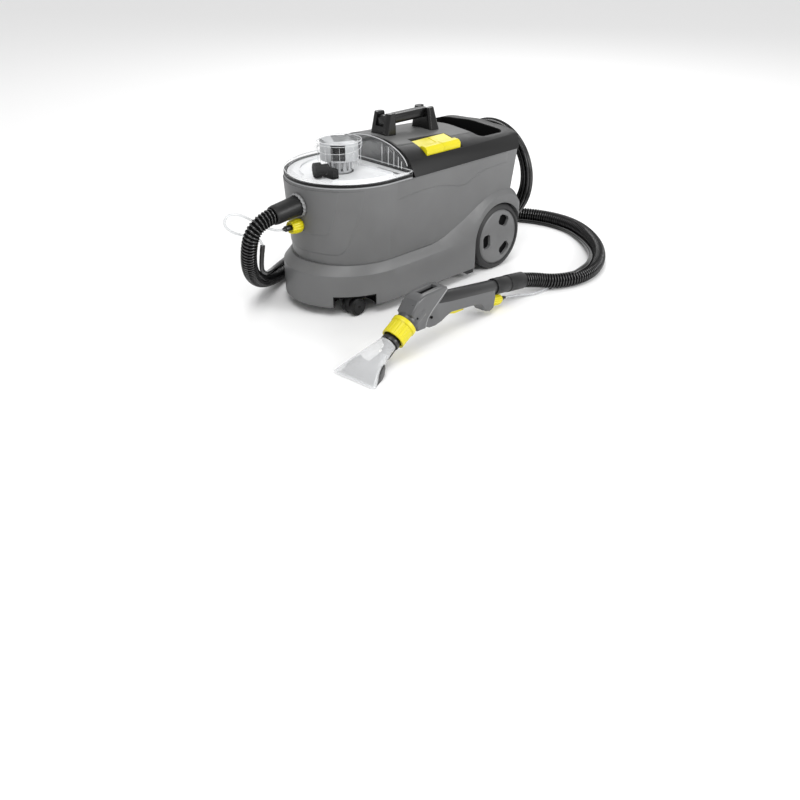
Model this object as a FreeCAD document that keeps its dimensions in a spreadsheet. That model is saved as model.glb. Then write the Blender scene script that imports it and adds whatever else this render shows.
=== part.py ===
"""Spray-extraction carpet cleaner: machine, suction hose, spray line and hand tool.

Millimetres, +Z up.  The origin is on the floor, midway between the wheels' sides.
The hose end (the nose) faces -Y and the large wheels are at +Y.
"""
import FreeCAD, Part
import math
import os
import re
import Sketcher
from FreeCAD import Placement, Rotation, Vector

os.makedirs("parts", exist_ok=True)
doc = FreeCAD.newDocument("carpet_cleaner")

# ---------------------------------------------------------------- driving sizes
SIZES = {
    # plan outline: every layer of the housing has its nose ellipse on this centre
    "nose_centre": -154,
    "wall": 3,
    "gap": 0.3,
    # plinth that carries the wheels
    "base_half": 158,
    "base_nose": 180,
    "base_rear": 330,
    "base_bottom": 26,
    "ledge_low": 106,
    "ledge_high": 127,
    # tapered upper body
    "body_half": 143,
    "body_nose": 152,
    "body_rear": 292,
    "rim_half": 153,
    "rim_nose": 165,
    "rim_rear": 316,
    "rim_height": 314,
    "corner": 30,
    # rear wheels
    "wheel_y": 232,
    "wheel_radius": 89,
    "wheel_x": 139,
    "tyre_width": 38,
    "hub_radius": 73,
    "axle_radius": 6,
    "well_radius": 93,
    "well_inner_x": 112,
    # front casters
    "caster_x": 106,
    "caster_y": -257,
    "caster_trail": 10,
    "caster_radius": 23,
    "caster_well": 54,
    "recess_x": 112,
    "recess_y": -250,
    "caster_ceiling": 50,
    # black top cover
    "cover_front": -82,
    "crown_front": 387,
    "crown_rear": 362,
    "crease_height": 347,
    "crease_half": 133,
    "cover_wall": 3.5,
    "panel_half": 86,
    "panel_rear": 184,
    # storage tray
    "tray_half": 115,
    "tray_front": 188,
    "tray_rear": 284,
    "tray_floor": 240,
    # pedal switches
    "switch_inner": 68,
    "switch_outer": 127,
    "switch_front": -18,
    "switch_rear": 102,
    "switch_pin": 2,
    # carrying handle
    "grip_low": 404,
    "grip_high": 428,
    "grip_width": 27,
    "grip_front": -50,
    "grip_rear": 108,
    # waste water tank and its clear lid
    "tank_floor": 150,
    "tank_rear": -88,
    "flange_low": 314.3,
    "flange_high": 318,
    "seal_high": 324,
    "lid_low": 324.3,
    "lid_base": 331,
    "lid_half": 131,
    "lid_nose": 160,
    "turret_y": -187,
    "turret_radius": 55,
    "turret_height": 397,
    # suction port and hose
    "port_height": 267,
    "port_bore": 18,
    "cuff_radius": 24,
    "hose_diameter": 39,
    "sleeve_diameter": 12,
    "tube_diameter": 6,
    "spray_height": 217,
    "coupling_radius": 16,
    # power cord
    "cord_diameter": 8,
    "hank_x": 14,
    "hank_y": 358,
    "hank_height": 215,
    "hank_radius": 130,
    "hank_bundle": 13,
    # hand tool, in its own frame: s runs back from the mouth, height is up
    "mouth_width": 119,
    "grip_radius": 18,
    "ring_radius": 28,
    "neck_radius": 23,
    "housing_width": 46,
}

sheet = doc.addObject("Spreadsheet::Sheet", "Sizes")
for row, (alias, number) in enumerate(SIZES.items(), start=1):
    sheet.set("A%d" % row, alias)
    sheet.set("B%d" % row, str(number))
    sheet.setAlias("B%d" % row, alias)
doc.recompute()

NODES = []
ORIGIN = ("0", "0", "0")


def size(alias):
    """A driving size, read back from the sheet."""
    return float(sheet.get(alias))


def formula(text):
    """Turn 'rim_half - wall' into an expression on the sheet."""
    return re.sub(r"[a-z][a-z_]*[a-z]", r"Sizes.\g<0>", str(text))


def value(text):
    """The number that a formula gives, worked out in a scratch cell of the sheet."""
    sheet.set("D1", "=" + str(text))
    sheet.recompute()
    return float(sheet.get("D1"))


def place(item, base, direction=None):
    """Bind an object's position, and turn its +X (or +Z) axis if asked."""
    if direction is not None:
        item.Placement = Placement(Vector(), direction)
    for axis, text in zip("xyz", base):
        item.setExpression("Placement.Base." + axis, formula(text))
    return item


def node(item, label):
    """Register a finished sub-part under its label."""
    item.Label = label
    NODES.append(item)
    return item


# ---------------------------------------------------------------- feature helpers
ALONG_X = Rotation(Vector(0, 0, 1), Vector(1, 0, 0))
ALONG_Y = Rotation(Vector(0, 0, 1), Vector(0, 1, 0))


def box(name, sizes, corner):
    item = doc.addObject("Part::Box", name)
    for prop, text in zip(("Length", "Width", "Height"), sizes):
        item.setExpression(prop, formula(text))
    return place(item, corner)


def cylinder(name, radius, height, base, turn=None):
    item = doc.addObject("Part::Cylinder", name)
    item.setExpression("Radius", formula(radius))
    item.setExpression("Height", formula(height))
    return place(item, base, turn)


def cone(name, radius_low, radius_high, height, base, turn=None):
    item = doc.addObject("Part::Cone", name)
    item.setExpression("Radius1", formula(radius_low))
    item.setExpression("Radius2", formula(radius_high))
    item.setExpression("Height", formula(height))
    return place(item, base, turn)


def feature(name, shape):
    item = doc.addObject("Part::Feature", name)
    item.Shape = shape
    return item


def joined(name, *items):
    item = doc.addObject("Part::MultiFuse", name)
    item.Shapes = list(items)
    item.Refine = True
    return item


def cut(name, base, *tools):
    item = doc.addObject("Part::Cut", name)
    item.Base = base
    item.Tool = tools[0] if len(tools) == 1 else joined(name + "_tools", *tools)
    return item


def origin_plane(body, role):
    return [f for f in body.Origin.OriginFeatures if f.Role == role][0]


def outline(body, role, points):
    """A closed outline whose corners are held by sizes from the sheet."""
    sketch = body.newObject("Sketcher::SketchObject", body.Name + "_outline")
    sketch.AttachmentSupport = [(origin_plane(body, role), "")]
    sketch.MapMode = "FlatFace"
    corners = [Vector(value(across), value(up), 0) for across, up in points]
    count = len(corners)
    for i in range(count):
        sketch.addGeometry(Part.LineSegment(corners[i], corners[(i + 1) % count]), False)
    for i in range(count):
        sketch.addConstraint(Sketcher.Constraint("Coincident", i, 2, (i + 1) % count, 1))
    for i, (across, up) in enumerate(points):
        hold(sketch, i, "DistanceX", -2, across, corners[i].x)
        hold(sketch, i, "DistanceY", -1, up, corners[i].y)
    return sketch


def hold(sketch, corner, kind, axis, text, number):
    """Fix one coordinate of a corner: on the axis, or at a bound distance from it."""
    if abs(number) < 1e-9:
        sketch.addConstraint(Sketcher.Constraint("PointOnObject", corner, 1, axis))
        return
    index = sketch.addConstraint(Sketcher.Constraint(kind, -1, 1, corner, 1, number))
    sketch.setExpression("Constraints[%d]" % index, formula(text))


def revolved(name, points, base, turn=None):
    """A body turned about its own X axis; points are (along, radius)."""
    body = doc.addObject("PartDesign::Body", name)
    sketch = outline(body, "XY_Plane", points)
    turned = body.newObject("PartDesign::Revolution", name + "_turned")
    turned.Profile = sketch
    turned.ReferenceAxis = (sketch, ["H_Axis"])
    turned.Angle = 360
    sketch.Visibility = False
    return place(body, base, turn)


def padded(name, role, points, depth, base, turn=None):
    """A body padded evenly both ways from one of its origin planes."""
    body = doc.addObject("PartDesign::Body", name)
    pad = body.newObject("PartDesign::Pad", name + "_pad")
    pad.Profile = outline(body, role, points)
    pad.setExpression("Length", formula(depth))
    pad.Midplane = True
    return place(body, base, turn)


def rounded(body, radius, pick):
    """Fillet the edges of a body's tip that the test picks."""
    doc.recompute()
    base = body.Tip
    names = ["Edge%d" % (i + 1) for i, edge in enumerate(base.Shape.Edges) if pick(edge)]
    fillet = body.newObject("PartDesign::Fillet", body.Name + "_round")
    fillet.Base = (base, names)
    fillet.Radius = radius
    body.Tip = fillet
    return body


# ---------------------------------------------------------------- housing shapes
def plan_wire(half, nose, rear, corner, height):
    """Plan outline of one layer: half-ellipse nose, straight sides, rounded rear."""
    middle = size("nose_centre")
    ellipse = Part.Ellipse(Vector(0, middle - nose, height), Vector(half, middle, height),
                           Vector(0, middle, height))
    inset = corner * (1 - math.sqrt(0.5))
    side, back = rear - corner, half - corner
    edges = [Part.ArcOfEllipse(ellipse, -math.pi / 2, math.pi / 2)]
    edges.append(Part.LineSegment(Vector(half, middle, height), Vector(half, side, height)))
    edges.append(Part.Arc(Vector(half, side, height),
                          Vector(half - inset, rear - inset, height),
                          Vector(back, rear, height)))
    edges.append(Part.LineSegment(Vector(back, rear, height), Vector(-back, rear, height)))
    edges.append(Part.Arc(Vector(-back, rear, height),
                          Vector(-half + inset, rear - inset, height),
                          Vector(-half, side, height)))
    edges.append(Part.LineSegment(Vector(-half, side, height), Vector(-half, middle, height)))
    return Part.Wire([edge.toShape() for edge in edges])


def layer(low, high):
    """Solid between two plan outlines, each (half, nose, rear, corner, height)."""
    return Part.makeLoft([plan_wire(*low), plan_wire(*high)], True, True)


def prism(half, nose, rear, corner, low, high):
    return layer((half, nose, rear, corner, low), (half, nose, rear, corner, high))


def body_solid(inset, low, high):
    """The tapered upper body, inset by a wall, between two heights."""
    bottom, top = size("ledge_high"), size("rim_height")

    def at(height):
        share = (height - bottom) / (top - bottom)
        half = size("body_half") + share * (size("rim_half") - size("body_half"))
        nose = size("body_nose") + share * (size("rim_nose") - size("body_nose"))
        rear = size("body_rear") + share * (size("rim_rear") - size("body_rear"))
        return half - inset, nose - inset, rear - inset, size("corner") - inset, height

    return layer(at(low), at(high))


def across_x(radius, low_x, high_x, y, z):
    return Part.makeCylinder(radius, high_x - low_x, Vector(low_x, y, z), Vector(1, 0, 0))


def block(low, high):
    low, high = Vector(*low), Vector(*high)
    return Part.makeBox(high.x - low.x, high.y - low.y, high.z - low.z, low)


def wheel_wells(radius, inner_x):
    """Room for both rear wheels: a round arch, open downwards and outwards."""
    y, z, out = size("wheel_y"), size("wheel_radius"), size("base_half") + 20
    right = across_x(radius, inner_x, out, y, z)
    right = right.fuse(block((inner_x, y - radius, -20), (out, y + radius, z)))
    return right.fuse(right.mirror(Vector(), Vector(1, 0, 0)))


def both_sides(centre, radius, low, high):
    """An upright cylinder and its mirror; centre names the two sizes that place it."""
    x, y = (size(name) for name in centre)
    right = Part.makeCylinder(radius, high - low, Vector(x, y, low))
    return right.fuse(right.mirror(Vector(), Vector(1, 0, 0)))


RECESS, STEM = ("recess_x", "recess_y"), ("caster_x", "caster_y")


def side_face(x, upper, low_z):
    """Face at one X under a smooth upper edge given as (Y, Z) points."""
    points = [Vector(x, y, z) for y, z in upper]
    edge = Part.BSplineCurve()
    edge.interpolate(points)
    first, last = points[0], points[-1]
    low_first, low_last = Vector(x, first.y, low_z), Vector(x, last.y, low_z)
    lines = [Part.LineSegment(last, low_last), Part.LineSegment(low_last, low_first),
             Part.LineSegment(low_first, first)]
    return Part.Wire([edge.toShape()] + [line.toShape() for line in lines])


# the ledge rises over each rear wheel as a fender: its outer and its inner upper edge
FENDER_OUTER = [(-55, 104), (0, 103), (40, 104), (96, 114), (134, 138), (160, 168),
                (190, 191), (245, 201), (290, 190), (318, 160), (328, 122)]
FENDER_INNER = [(-55, 126), (0, 129), (38, 138), (82, 157), (120, 178), (155, 197),
                (195, 212), (245, 217), (293, 206), (321, 174), (328, 130)]


def fenders(footprint):
    """The raised ledge over both rear wheels, kept within the plan of the base."""
    outer_x, inner_x = size("base_half"), size("body_half") + 1
    low_z = size("ledge_low") - 30
    right = Part.makeLoft([side_face(outer_x, FENDER_OUTER, low_z),
                           side_face(inner_x, FENDER_INNER, low_z)], True, True)
    inner = side_face(inner_x, FENDER_INNER, low_z)
    right = right.fuse(Part.Face(inner).extrude(Vector(-30, 0, 0)))
    right = right.common(footprint)
    return right.fuse(right.mirror(Vector(), Vector(1, 0, 0)))


def base_housing():
    """Grey plinth with a sloped ledge, fenders, wheel arches and caster recesses."""
    wall, low, ledge = size("wall"), size("base_bottom"), size("ledge_low")
    half, nose, rear = size("base_half"), size("base_nose"), size("base_rear")
    corner, top = size("corner") - 4, size("ledge_high")
    shape = prism(half, nose, rear, corner, low, ledge)
    slope = layer((half, nose, rear, corner, ledge),
                  (half - 13, nose - 22, rear - 13, corner, top))
    footprint = prism(half, nose, rear, corner, low, size("rim_height"))
    shape = shape.fuse(slope).fuse(fenders(footprint))
    shape = shape.cut(body_solid(0, top, size("rim_height")))
    inside = prism(half - wall, nose - wall, rear - wall, corner - wall, low - 5, ledge - wall)
    inner_half, inner_nose = size("body_half") - wall, size("body_nose") - wall
    inside = inside.fuse(prism(inner_half, inner_nose, size("body_rear") - wall, corner - wall,
                               ledge - 2 * wall, top + 1))
    keep = wheel_wells(size("well_radius") + 2 * wall, size("well_inner_x") - wall)
    inside = inside.cut(keep).cut(both_sides(RECESS, size("caster_well") + wall, low - 6, 57))
    shape = shape.cut(inside).cut(wheel_wells(size("well_radius"), size("well_inner_x")))
    shape = shape.cut(both_sides(RECESS, size("caster_well"), low - 6, 54))
    shape = shape.cut(both_sides(STEM, 10, 50, 60))
    behind = block((size("well_inner_x"), size("wheel_y"), low - 20), (half + 20, rear + 20, 110))
    shape = shape.cut(behind).cut(behind.mirror(Vector(), Vector(1, 0, 0)))
    axle = across_x(size("axle_radius"), -130, 130, size("wheel_y"), size("wheel_radius"))
    return shape.cut(axle).removeSplitter()


BASE = base_housing()


def nose_bore(radius, height, tilt=0.0):
    """A bore along -Y through the nose, dipping by the tilt in degrees."""
    direction = Vector(0, -math.cos(math.radians(tilt)), -math.sin(math.radians(tilt)))
    start = Vector(0, -290, height + 3)
    return Part.makeCylinder(radius, 60, start, direction)


PORT_TILT = 7


def body_shell():
    """Grey tapered tank body, open at the top, with the wheel arches pushed into it."""
    wall, low, top = size("wall"), size("ledge_high"), size("rim_height")
    inside = body_solid(wall, low, top)
    keep = wheel_wells(size("well_radius") + wall, size("well_inner_x") - wall)
    shape = body_solid(0, low, top).cut(inside.cut(keep))
    shape = shape.cut(wheel_wells(size("well_radius"), size("well_inner_x")))
    shape = shape.cut(nose_bore(21, size("port_height"), PORT_TILT))
    return shape.cut(Part.makeCylinder(9, 60, Vector(0, -280, size("spray_height")),
                                       Vector(0, -1, 0))).removeSplitter()


def bottom_plate():
    """Black floor pan with a skid wedge in front of each rear wheel."""
    low = size("base_bottom") + 1
    half, nose, rear = size("base_half") - 4, size("base_nose") - 4, size("base_rear") - 4
    shape = prism(half, nose, rear, 20, low, low + 3)
    right = Part.makePolygon([Vector(154, 104, low + 3), Vector(154, 100, low),
                              Vector(154, 116, 13), Vector(154, 138, 13),
                              Vector(154, 138, low + 3), Vector(154, 104, low + 3)])
    right = Part.Face(right).extrude(Vector(-38, 0, 0))
    shape = shape.cut(wheel_wells(size("well_radius") + size("wall") + 1,
                                  size("well_inner_x") - size("wall") - 1))
    shape = shape.cut(both_sides(RECESS, size("caster_well") + size("wall") + 1, low - 5, low + 5))
    shape = shape.fuse(right).fuse(right.mirror(Vector(), Vector(1, 0, 0)))
    return shape.cut(BASE).removeSplitter()


def caster_cups():
    """Black liners in the caster recesses, each with a sleeve for the stem."""
    low, ceiling = size("base_bottom") + 0.5, size("caster_ceiling")
    radius = size("caster_well") - size("gap")
    shape = both_sides(RECESS, radius, low, 53.5)
    shape = shape.cut(both_sides(RECESS, radius - 3, low - 1, ceiling))
    plan = prism(size("base_half") - 1, size("base_nose") - 1, size("base_rear"), 20, 0, 80)
    shape = shape.common(plan).fuse(both_sides(STEM, 9.5, ceiling, 66))
    return shape.cut(both_sides(STEM, 5.56, ceiling - 5, 62))


node(feature("base_housing", BASE), "base_housing")
node(feature("body_shell", body_shell()), "body_shell")
node(feature("bottom_plate", bottom_plate()), "bottom_plate")
node(feature("caster_cups", caster_cups()), "caster_cups")


# ---------------------------------------------------------------- black top cover
def arch_wire(y, crown, shoulder, drop):
    """Roof section: flat side bands up to a crease, then a crown; lowered by a drop."""
    half, crease_x = size("rim_half") + 1 - drop, size("crease_half") - drop * 0.6
    low, crease = 200, size("crease_height") - drop
    right = [(crease_x, crease), (size("panel_half"), shoulder - drop),
             (46, crown - 3 - drop), (0, crown - drop)]
    left = [(-x, z) for x, z in reversed(right[:-1])]
    roof = Part.BSplineCurve()
    roof.interpolate([Vector(x, y, z) for x, z in right + left])
    foot = size("rim_height") - 2
    ring = [Vector(-crease_x, y, crease), Vector(-half, y, foot), Vector(-half, y, low),
            Vector(half, y, low), Vector(half, y, foot), Vector(crease_x, y, crease)]
    lines = [Part.LineSegment(ring[i], ring[i + 1]).toShape() for i in range(len(ring) - 1)]
    return Part.Wire([roof.toShape()] + lines)


def roof_solid(drop, front, rear):
    """Everything under the roof, falling from the front crown to the rear one."""
    crown_front, crown_rear = size("crown_front"), size("crown_rear")
    first, last = size("cover_front"), size("rim_rear") + 2

    def at(y):
        share = (y - first) / (last - first)
        crown = crown_front + share * (crown_rear - crown_front)
        shoulder = crown - 11 + share * 6
        return arch_wire(y, crown, shoulder, drop)

    return Part.makeLoft([at(front), at(rear)], True, True)


def rounded_block(low, high, radius):
    """A box whose four upright edges are rounded."""
    solid = block(low, high)
    upright = [edge for edge in solid.Edges if abs(edge.tangentAt(edge.FirstParameter).z) > 0.9]
    return solid.makeFillet(radius, upright)


FRONT, REAR = size("cover_front"), size("rim_rear") + 2
PANEL_BOX = block((-size("panel_half"), FRONT + 5, 300), (size("panel_half"), size("panel_rear"), 420))
TRAY_LOW = (-size("tray_half"), size("tray_front"), size("tray_floor"))
TRAY_HIGH = (size("tray_half"), size("tray_rear"), 420)
SWITCH_LOW = (size("switch_inner") - 4, size("switch_front") - 4, 322)
SWITCH_HIGH = (size("switch_outer") + 4, size("switch_rear") + 4, 420)
PANEL = roof_solid(-0.8, FRONT, REAR).cut(roof_solid(2, FRONT, REAR)).common(PANEL_BOX)
PANEL = PANEL.cut(block([c - 0.4 for c in SWITCH_LOW], [c + 0.4 for c in SWITCH_HIGH]))
TRAY_BLOCK = rounded_block(TRAY_LOW, TRAY_HIGH, 18)
TRAY_ROOM = rounded_block([c + 3 for c in TRAY_LOW[:2]] + [TRAY_LOW[2] + 3],
                          [c - 3 for c in TRAY_HIGH[:2]] + [430], 15)


def top_cover():
    """Black roof behind the clear lid, with a front wall and the openings cut in it."""
    wall = size("cover_wall")
    half, nose, rear = size("rim_half") + 1, size("rim_nose"), size("rim_rear") + 2
    plan = prism(half, nose, rear, size("corner"), size("rim_height"), 420)
    inner_plan = prism(half - wall, nose, rear - wall, size("corner") - wall, 280, 420)
    shape = roof_solid(0, FRONT, REAR).common(plan)
    inside = roof_solid(wall, FRONT + wall, REAR).common(inner_plan)
    shape = shape.cut(inside).cut(PANEL)
    shape = shape.cut(TRAY_BLOCK).cut(block(SWITCH_LOW, SWITCH_HIGH))
    return shape.removeSplitter()


def storage_tray():
    """Open bin let into the cover, rounded in its corners."""
    return TRAY_BLOCK.cut(TRAY_ROOM).common(roof_solid(1, FRONT, REAR))


def switch_block():
    """Well under the two pedals; its end walls hold the pedal pin."""
    shape = block(SWITCH_LOW, SWITCH_HIGH).common(roof_solid(0.6, FRONT, REAR))
    room = block((size("switch_inner") - 1.5, size("switch_front") - 1.5, 326),
                 (size("switch_outer") + 2, size("switch_rear") + 1.5, 420))
    return shape.cut(room)


node(feature("top_cover", top_cover()), "top_cover")
node(feature("top_panel", PANEL), "top_panel")
node(feature("storage_tray", storage_tray()), "storage_tray")
pedal_pin = cylinder("pedal_pin", "switch_pin", "switch_rear - switch_front + 6",
                     ("switch_inner + 4", "switch_front - 3", "346"), ALONG_Y)
node(joined("switch_well", feature("switch_walls", switch_block()), pedal_pin), "switch_block")

PEDAL = [("switch_inner", "358"), ("switch_inner", "373"), ("103", "365"), ("107", "369"),
         ("120", "368"), ("switch_outer", "361"), ("switch_outer", "340"), ("106", "340"),
         ("102", "349"), ("80", "350"), ("78", "341"), ("switch_inner", "341")]


def pedal(label, middle):
    """A yellow pedal: a thin slab with a raised roll along its outer edge."""
    body = padded(label + "_solid", "XZ_Plane", PEDAL, "(switch_rear - switch_front) / 2 - 0.6",
                  ("0", middle, "0"))
    rounded(body, 2.5, lambda edge: edge.CenterOfMass.z > 367.5)
    bore = cylinder(label + "_bore", "switch_pin + 0.05", "400",
                    ("switch_inner + 4", "-100", "346"), ALONG_Y)
    return node(cut(label + "_part", body, bore), label)


QUARTER = "(switch_rear - switch_front) / 4"
CENTRE = "(switch_front + switch_rear) / 2"
pedal("suction_pedal", CENTRE + " - " + QUARTER)
pedal("spray_pedal", CENTRE + " + " + QUARTER)


# ---------------------------------------------------------------- carrying handle
def handle_post(name, front, low_half, low_depth, top_y, top_half, top_depth, top, notch):
    """A post that narrows upwards and ends in two horns either side of the grip."""
    def ring(y, half, depth, z):
        corners = [Vector(-half, y - depth, z), Vector(half, y - depth, z),
                   Vector(half, y + depth, z), Vector(-half, y + depth, z)]
        return Part.makePolygon(corners + corners[:1])
    shape = Part.makeLoft([ring(front, low_half, low_depth, 350),
                           ring(top_y, top_half, top_depth, top)], True, True)
    slanted = [edge for edge in shape.Edges if abs(edge.tangentAt(edge.FirstParameter).z) > 0.6]
    shape = shape.makeFillet(8, slanted)
    grip_half = size("grip_width") / 2
    slot = block((-grip_half, -200, size("grip_low")), (grip_half, 200, 460))
    vee = Part.makePolygon([Vector(-notch, -200, top + 1), Vector(notch, -200, top + 1),
                            Vector(0, -200, size("grip_high") - 14),
                            Vector(-notch, -200, top + 1)])
    shape = shape.cut(slot).cut(Part.Face(vee).extrude(Vector(0, 400, 0)))
    return feature(name, shape.cut(roof_solid(-0.8, FRONT, REAR)))


node(handle_post("front_post", -45, 31, 23, -36, 29, 12, 435, 17), "handle_front_post")
node(handle_post("rear_post", 108, 40, 20, 101, 26, 12, 429, 14), "handle_rear_post")
grip = padded("grip", "YZ_Plane",
              [("grip_front", "grip_low"), ("grip_rear", "grip_low"),
               ("grip_rear", "grip_high - 8"), ("grip_rear - 8", "grip_high"),
               ("grip_front + 8", "grip_high"), ("grip_front", "grip_high - 8")],
              "grip_width - 0.2", ORIGIN)
rounded(grip, 7, lambda edge: edge.Length > 100)
node(grip, "handle_grip")


# ---------------------------------------------------------------- wheels and axle
HUB_POCKET = [("32", "-13"), ("38", "-19"), ("54", "-19"), ("60", "-12"),
              ("60", "12"), ("54", "19"), ("38", "19"), ("32", "13")]


def wheel(side, sign):
    """One rear wheel: a tyre with a stepped shoulder on a hub with three pockets."""
    turn = Rotation(Vector(1, 0, 0), Vector(sign, 0, 0))
    centre = ("%d * wheel_x" % sign, "wheel_y", "wheel_radius")
    half = "tyre_width / 2"
    tyre = revolved("tyre_" + side, [
        ("-(%s)" % half, "hub_radius"), (half + " - 4", "hub_radius"),
        (half, "hub_radius + 3"), (half, "hub_radius + 5"), (half + " - 5", "wheel_radius - 2"),
        (half + " - 9", "wheel_radius"), ("9 - " + half, "wheel_radius"),
        ("-(%s)" % half, "wheel_radius - 4")], centre, turn)
    node(tyre, "rear_tyre_" + side)
    turned = turn.multiply(Rotation(Vector(1, 0, 0), 65))
    hub = revolved("hub_" + side, [
        ("-(%s)" % half, "axle_radius + 0.05"), ("10", "axle_radius + 0.05"), ("10", "0"),
        ("16", "0"), ("17.5", "30"), ("17.5", "hub_radius - 5"), ("15", "hub_radius"),
        ("-(%s)" % half, "hub_radius"), ("-(%s)" % half, "hub_radius - 6"),
        ("2", "hub_radius - 6"), ("2", "18"), ("-(%s)" % half, "18")], centre, turned)
    doc.recompute()
    sketch = outline(hub, "YZ_Plane", HUB_POCKET)
    sketch.AttachmentOffset = Placement(Vector(0, 0, 8), Rotation())
    pocket = hub.newObject("PartDesign::Pocket", "pocket_" + side)
    pocket.Profile = sketch
    pocket.Length = 20
    pocket.Reversed = True
    doc.recompute()
    pattern = hub.newObject("PartDesign::PolarPattern", "pockets_" + side)
    pattern.Originals = [pocket]
    pattern.Axis = (sketch, ["N_Axis"])
    pattern.Angle = 360
    pattern.Occurrences = 3
    hub.Tip = pattern
    node(hub, "rear_hub_" + side)


node(cylinder("rear_axle", "axle_radius", "2 * wheel_x + 18", ("-wheel_x - 9", "wheel_y",
                                                               "wheel_radius"), ALONG_X),
     "rear_axle")
wheel("left", -1)
wheel("right", 1)


def caster(side, sign):
    """Twin-wheel caster: a hood with its stem, an axle, and a pair of wheels."""
    x = "%d * caster_x" % sign
    wheel_y = "caster_y + caster_trail"
    hood = cylinder("hood_disc_" + side, "caster_radius - 2", "13",
                    (x + " - 6.5", wheel_y, "caster_radius"), ALONG_X)
    neck = box("hood_neck_" + side, ("13", "26", "caster_ceiling - gap - 26"),
               (x + " - 6.5", "caster_y - 12", "26"))
    stem = cylinder("hood_stem_" + side, "5.5", "30", (x, "caster_y", "32"))
    bore = cylinder("hood_bore_" + side, "3", "40", (x + " - 20", wheel_y, "caster_radius"),
                    ALONG_X)
    node(cut("hood_" + side, joined("hood_solid_" + side, hood, neck, stem), bore),
         "caster_hood_" + side)
    node(cylinder("caster_axle_" + side, "3", "38", (x + " - 19", wheel_y, "caster_radius"),
                  ALONG_X), "caster_axle_" + side)
    halves = []
    for tag, offset in (("near", "7.3"), ("far", "-20.3")):
        halves.append(revolved("wheel_%s_%s" % (tag, side), [
            ("0", "3.05"), ("13", "3.05"), ("13", "caster_radius - 7"),
            ("11", "caster_radius - 5"), ("13", "caster_radius - 3"), ("11", "caster_radius"),
            ("2", "caster_radius"), ("0", "caster_radius - 2")],
            (x + " + " + offset, wheel_y, "caster_radius")))
    node(joined("caster_pair_" + side, *halves), "caster_wheels_" + side)


caster("left", -1)
caster("right", 1)


# ---------------------------------------------------------------- waste water tank
def tank_plan(inset, low, high):
    """Straight-sided layer shaped like the rim in front of the top cover."""
    return prism(size("rim_half") - inset, size("rim_nose") - inset, size("tank_rear") + 3.5,
                 12, low, high)


def waste_tank():
    """Tapered tub that hangs by its flange in the open front of the body."""
    low, flange = size("tank_floor"), size("flange_low")
    outer = layer((129, 138, -94, 16, low), (147.5, 159.5, -88, 12, flange))
    inner = layer((126.5, 135.5, -96.5, 13.5, low + 2.5), (145, 157, -90.5, 9.5, flange + 4))
    shape = outer.fuse(tank_plan(0.6, flange, size("flange_high"))).cut(inner)
    return shape.cut(nose_bore(19, size("port_height"), PORT_TILT)).removeSplitter()


FILTER_BASE = Vector(18, -250, 0)


def tank_deck():
    """White deck over the tub, open under the float cage and at the inlet filter."""
    low = size("flange_high")
    shape = tank_plan(9, low, low + 3)
    shape = shape.cut(Part.makeCylinder(34, 20, Vector(0, size("turret_y"), low - 5)))
    slots = block((-120, -110, low - 5), (-40, -98, low + 10))
    slots = slots.fuse(slots.mirror(Vector(), Vector(1, 0, 0)))
    rib = prism(118, 126, -118, 8, low + 3, low + 8).cut(prism(116, 124, -120, 7, low, low + 9))
    return shape.cut(slots).fuse(rib.cut(block((-30, -300, low), (60, -200, low + 20))))


DOME_SUNK = 4


def dome_section(y, inset):
    """Half-ellipse across the lid at one station, closed by a base line sunk in the flange."""
    run = max(0.0, size("nose_centre") - y)
    half = size("lid_half") * math.sqrt(1 - (run / size("lid_nose")) ** 2) - inset
    reach = (size("tank_rear") + 3.5 - y) / (size("lid_nose") + 69)
    rise = (size("crown_front") - size("lid_base")) * math.sqrt(1 - reach ** 2.2) - inset
    base = size("lid_base") - DOME_SUNK
    rise += DOME_SUNK
    ellipse = Part.Ellipse(Vector(half, y, base), Vector(0, y, base + rise), Vector(0, y, base))
    arc = Part.ArcOfEllipse(ellipse, 0, math.pi).toShape()
    chord = Part.LineSegment(Vector(-half, y, base), Vector(half, y, base)).toShape()
    return Part.Wire([arc, chord])


DOME_STATIONS = [-84.5, -118, -154, -188, -220, -250, -275, -295, -306]


def dome(inset):
    stations = DOME_STATIONS[:]
    stations[0] -= inset
    stations[-1] += inset
    return Part.makeLoft([dome_section(y, inset) for y in stations], True, False)


def tank_lid():
    """Clear lid: flange, dome, round turret, and the duct from turret to cover."""
    low, base, wall = size("lid_low"), size("lid_base"), 2.5
    y, radius, top = size("turret_y"), size("turret_radius"), size("turret_height")
    rear = size("tank_rear") + 3.5
    outer = tank_plan(0, low, base).fuse(dome(0))
    outer = outer.fuse(Part.makeCylinder(radius, top - base, Vector(0, y, base)))
    outer = outer.fuse(block((-27, y, base), (27, rear, 394)))
    inner = dome(wall).fuse(Part.makeCylinder(radius - wall, top - wall - base, Vector(0, y, base)))
    inner = inner.fuse(block((-27 + wall, y, base), (27 - wall, rear - wall, 394 - wall)))
    mouth = tank_plan(22, low - 1, base + 0.5)
    return outer.cut(inner).cut(mouth).removeSplitter()


def lid_seal():
    low, high = size("flange_high"), size("seal_high")
    return tank_plan(0.3, low, high).cut(tank_plan(7, low - 1, high + 1))


CAGE_WINDOW = 45.5


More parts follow.
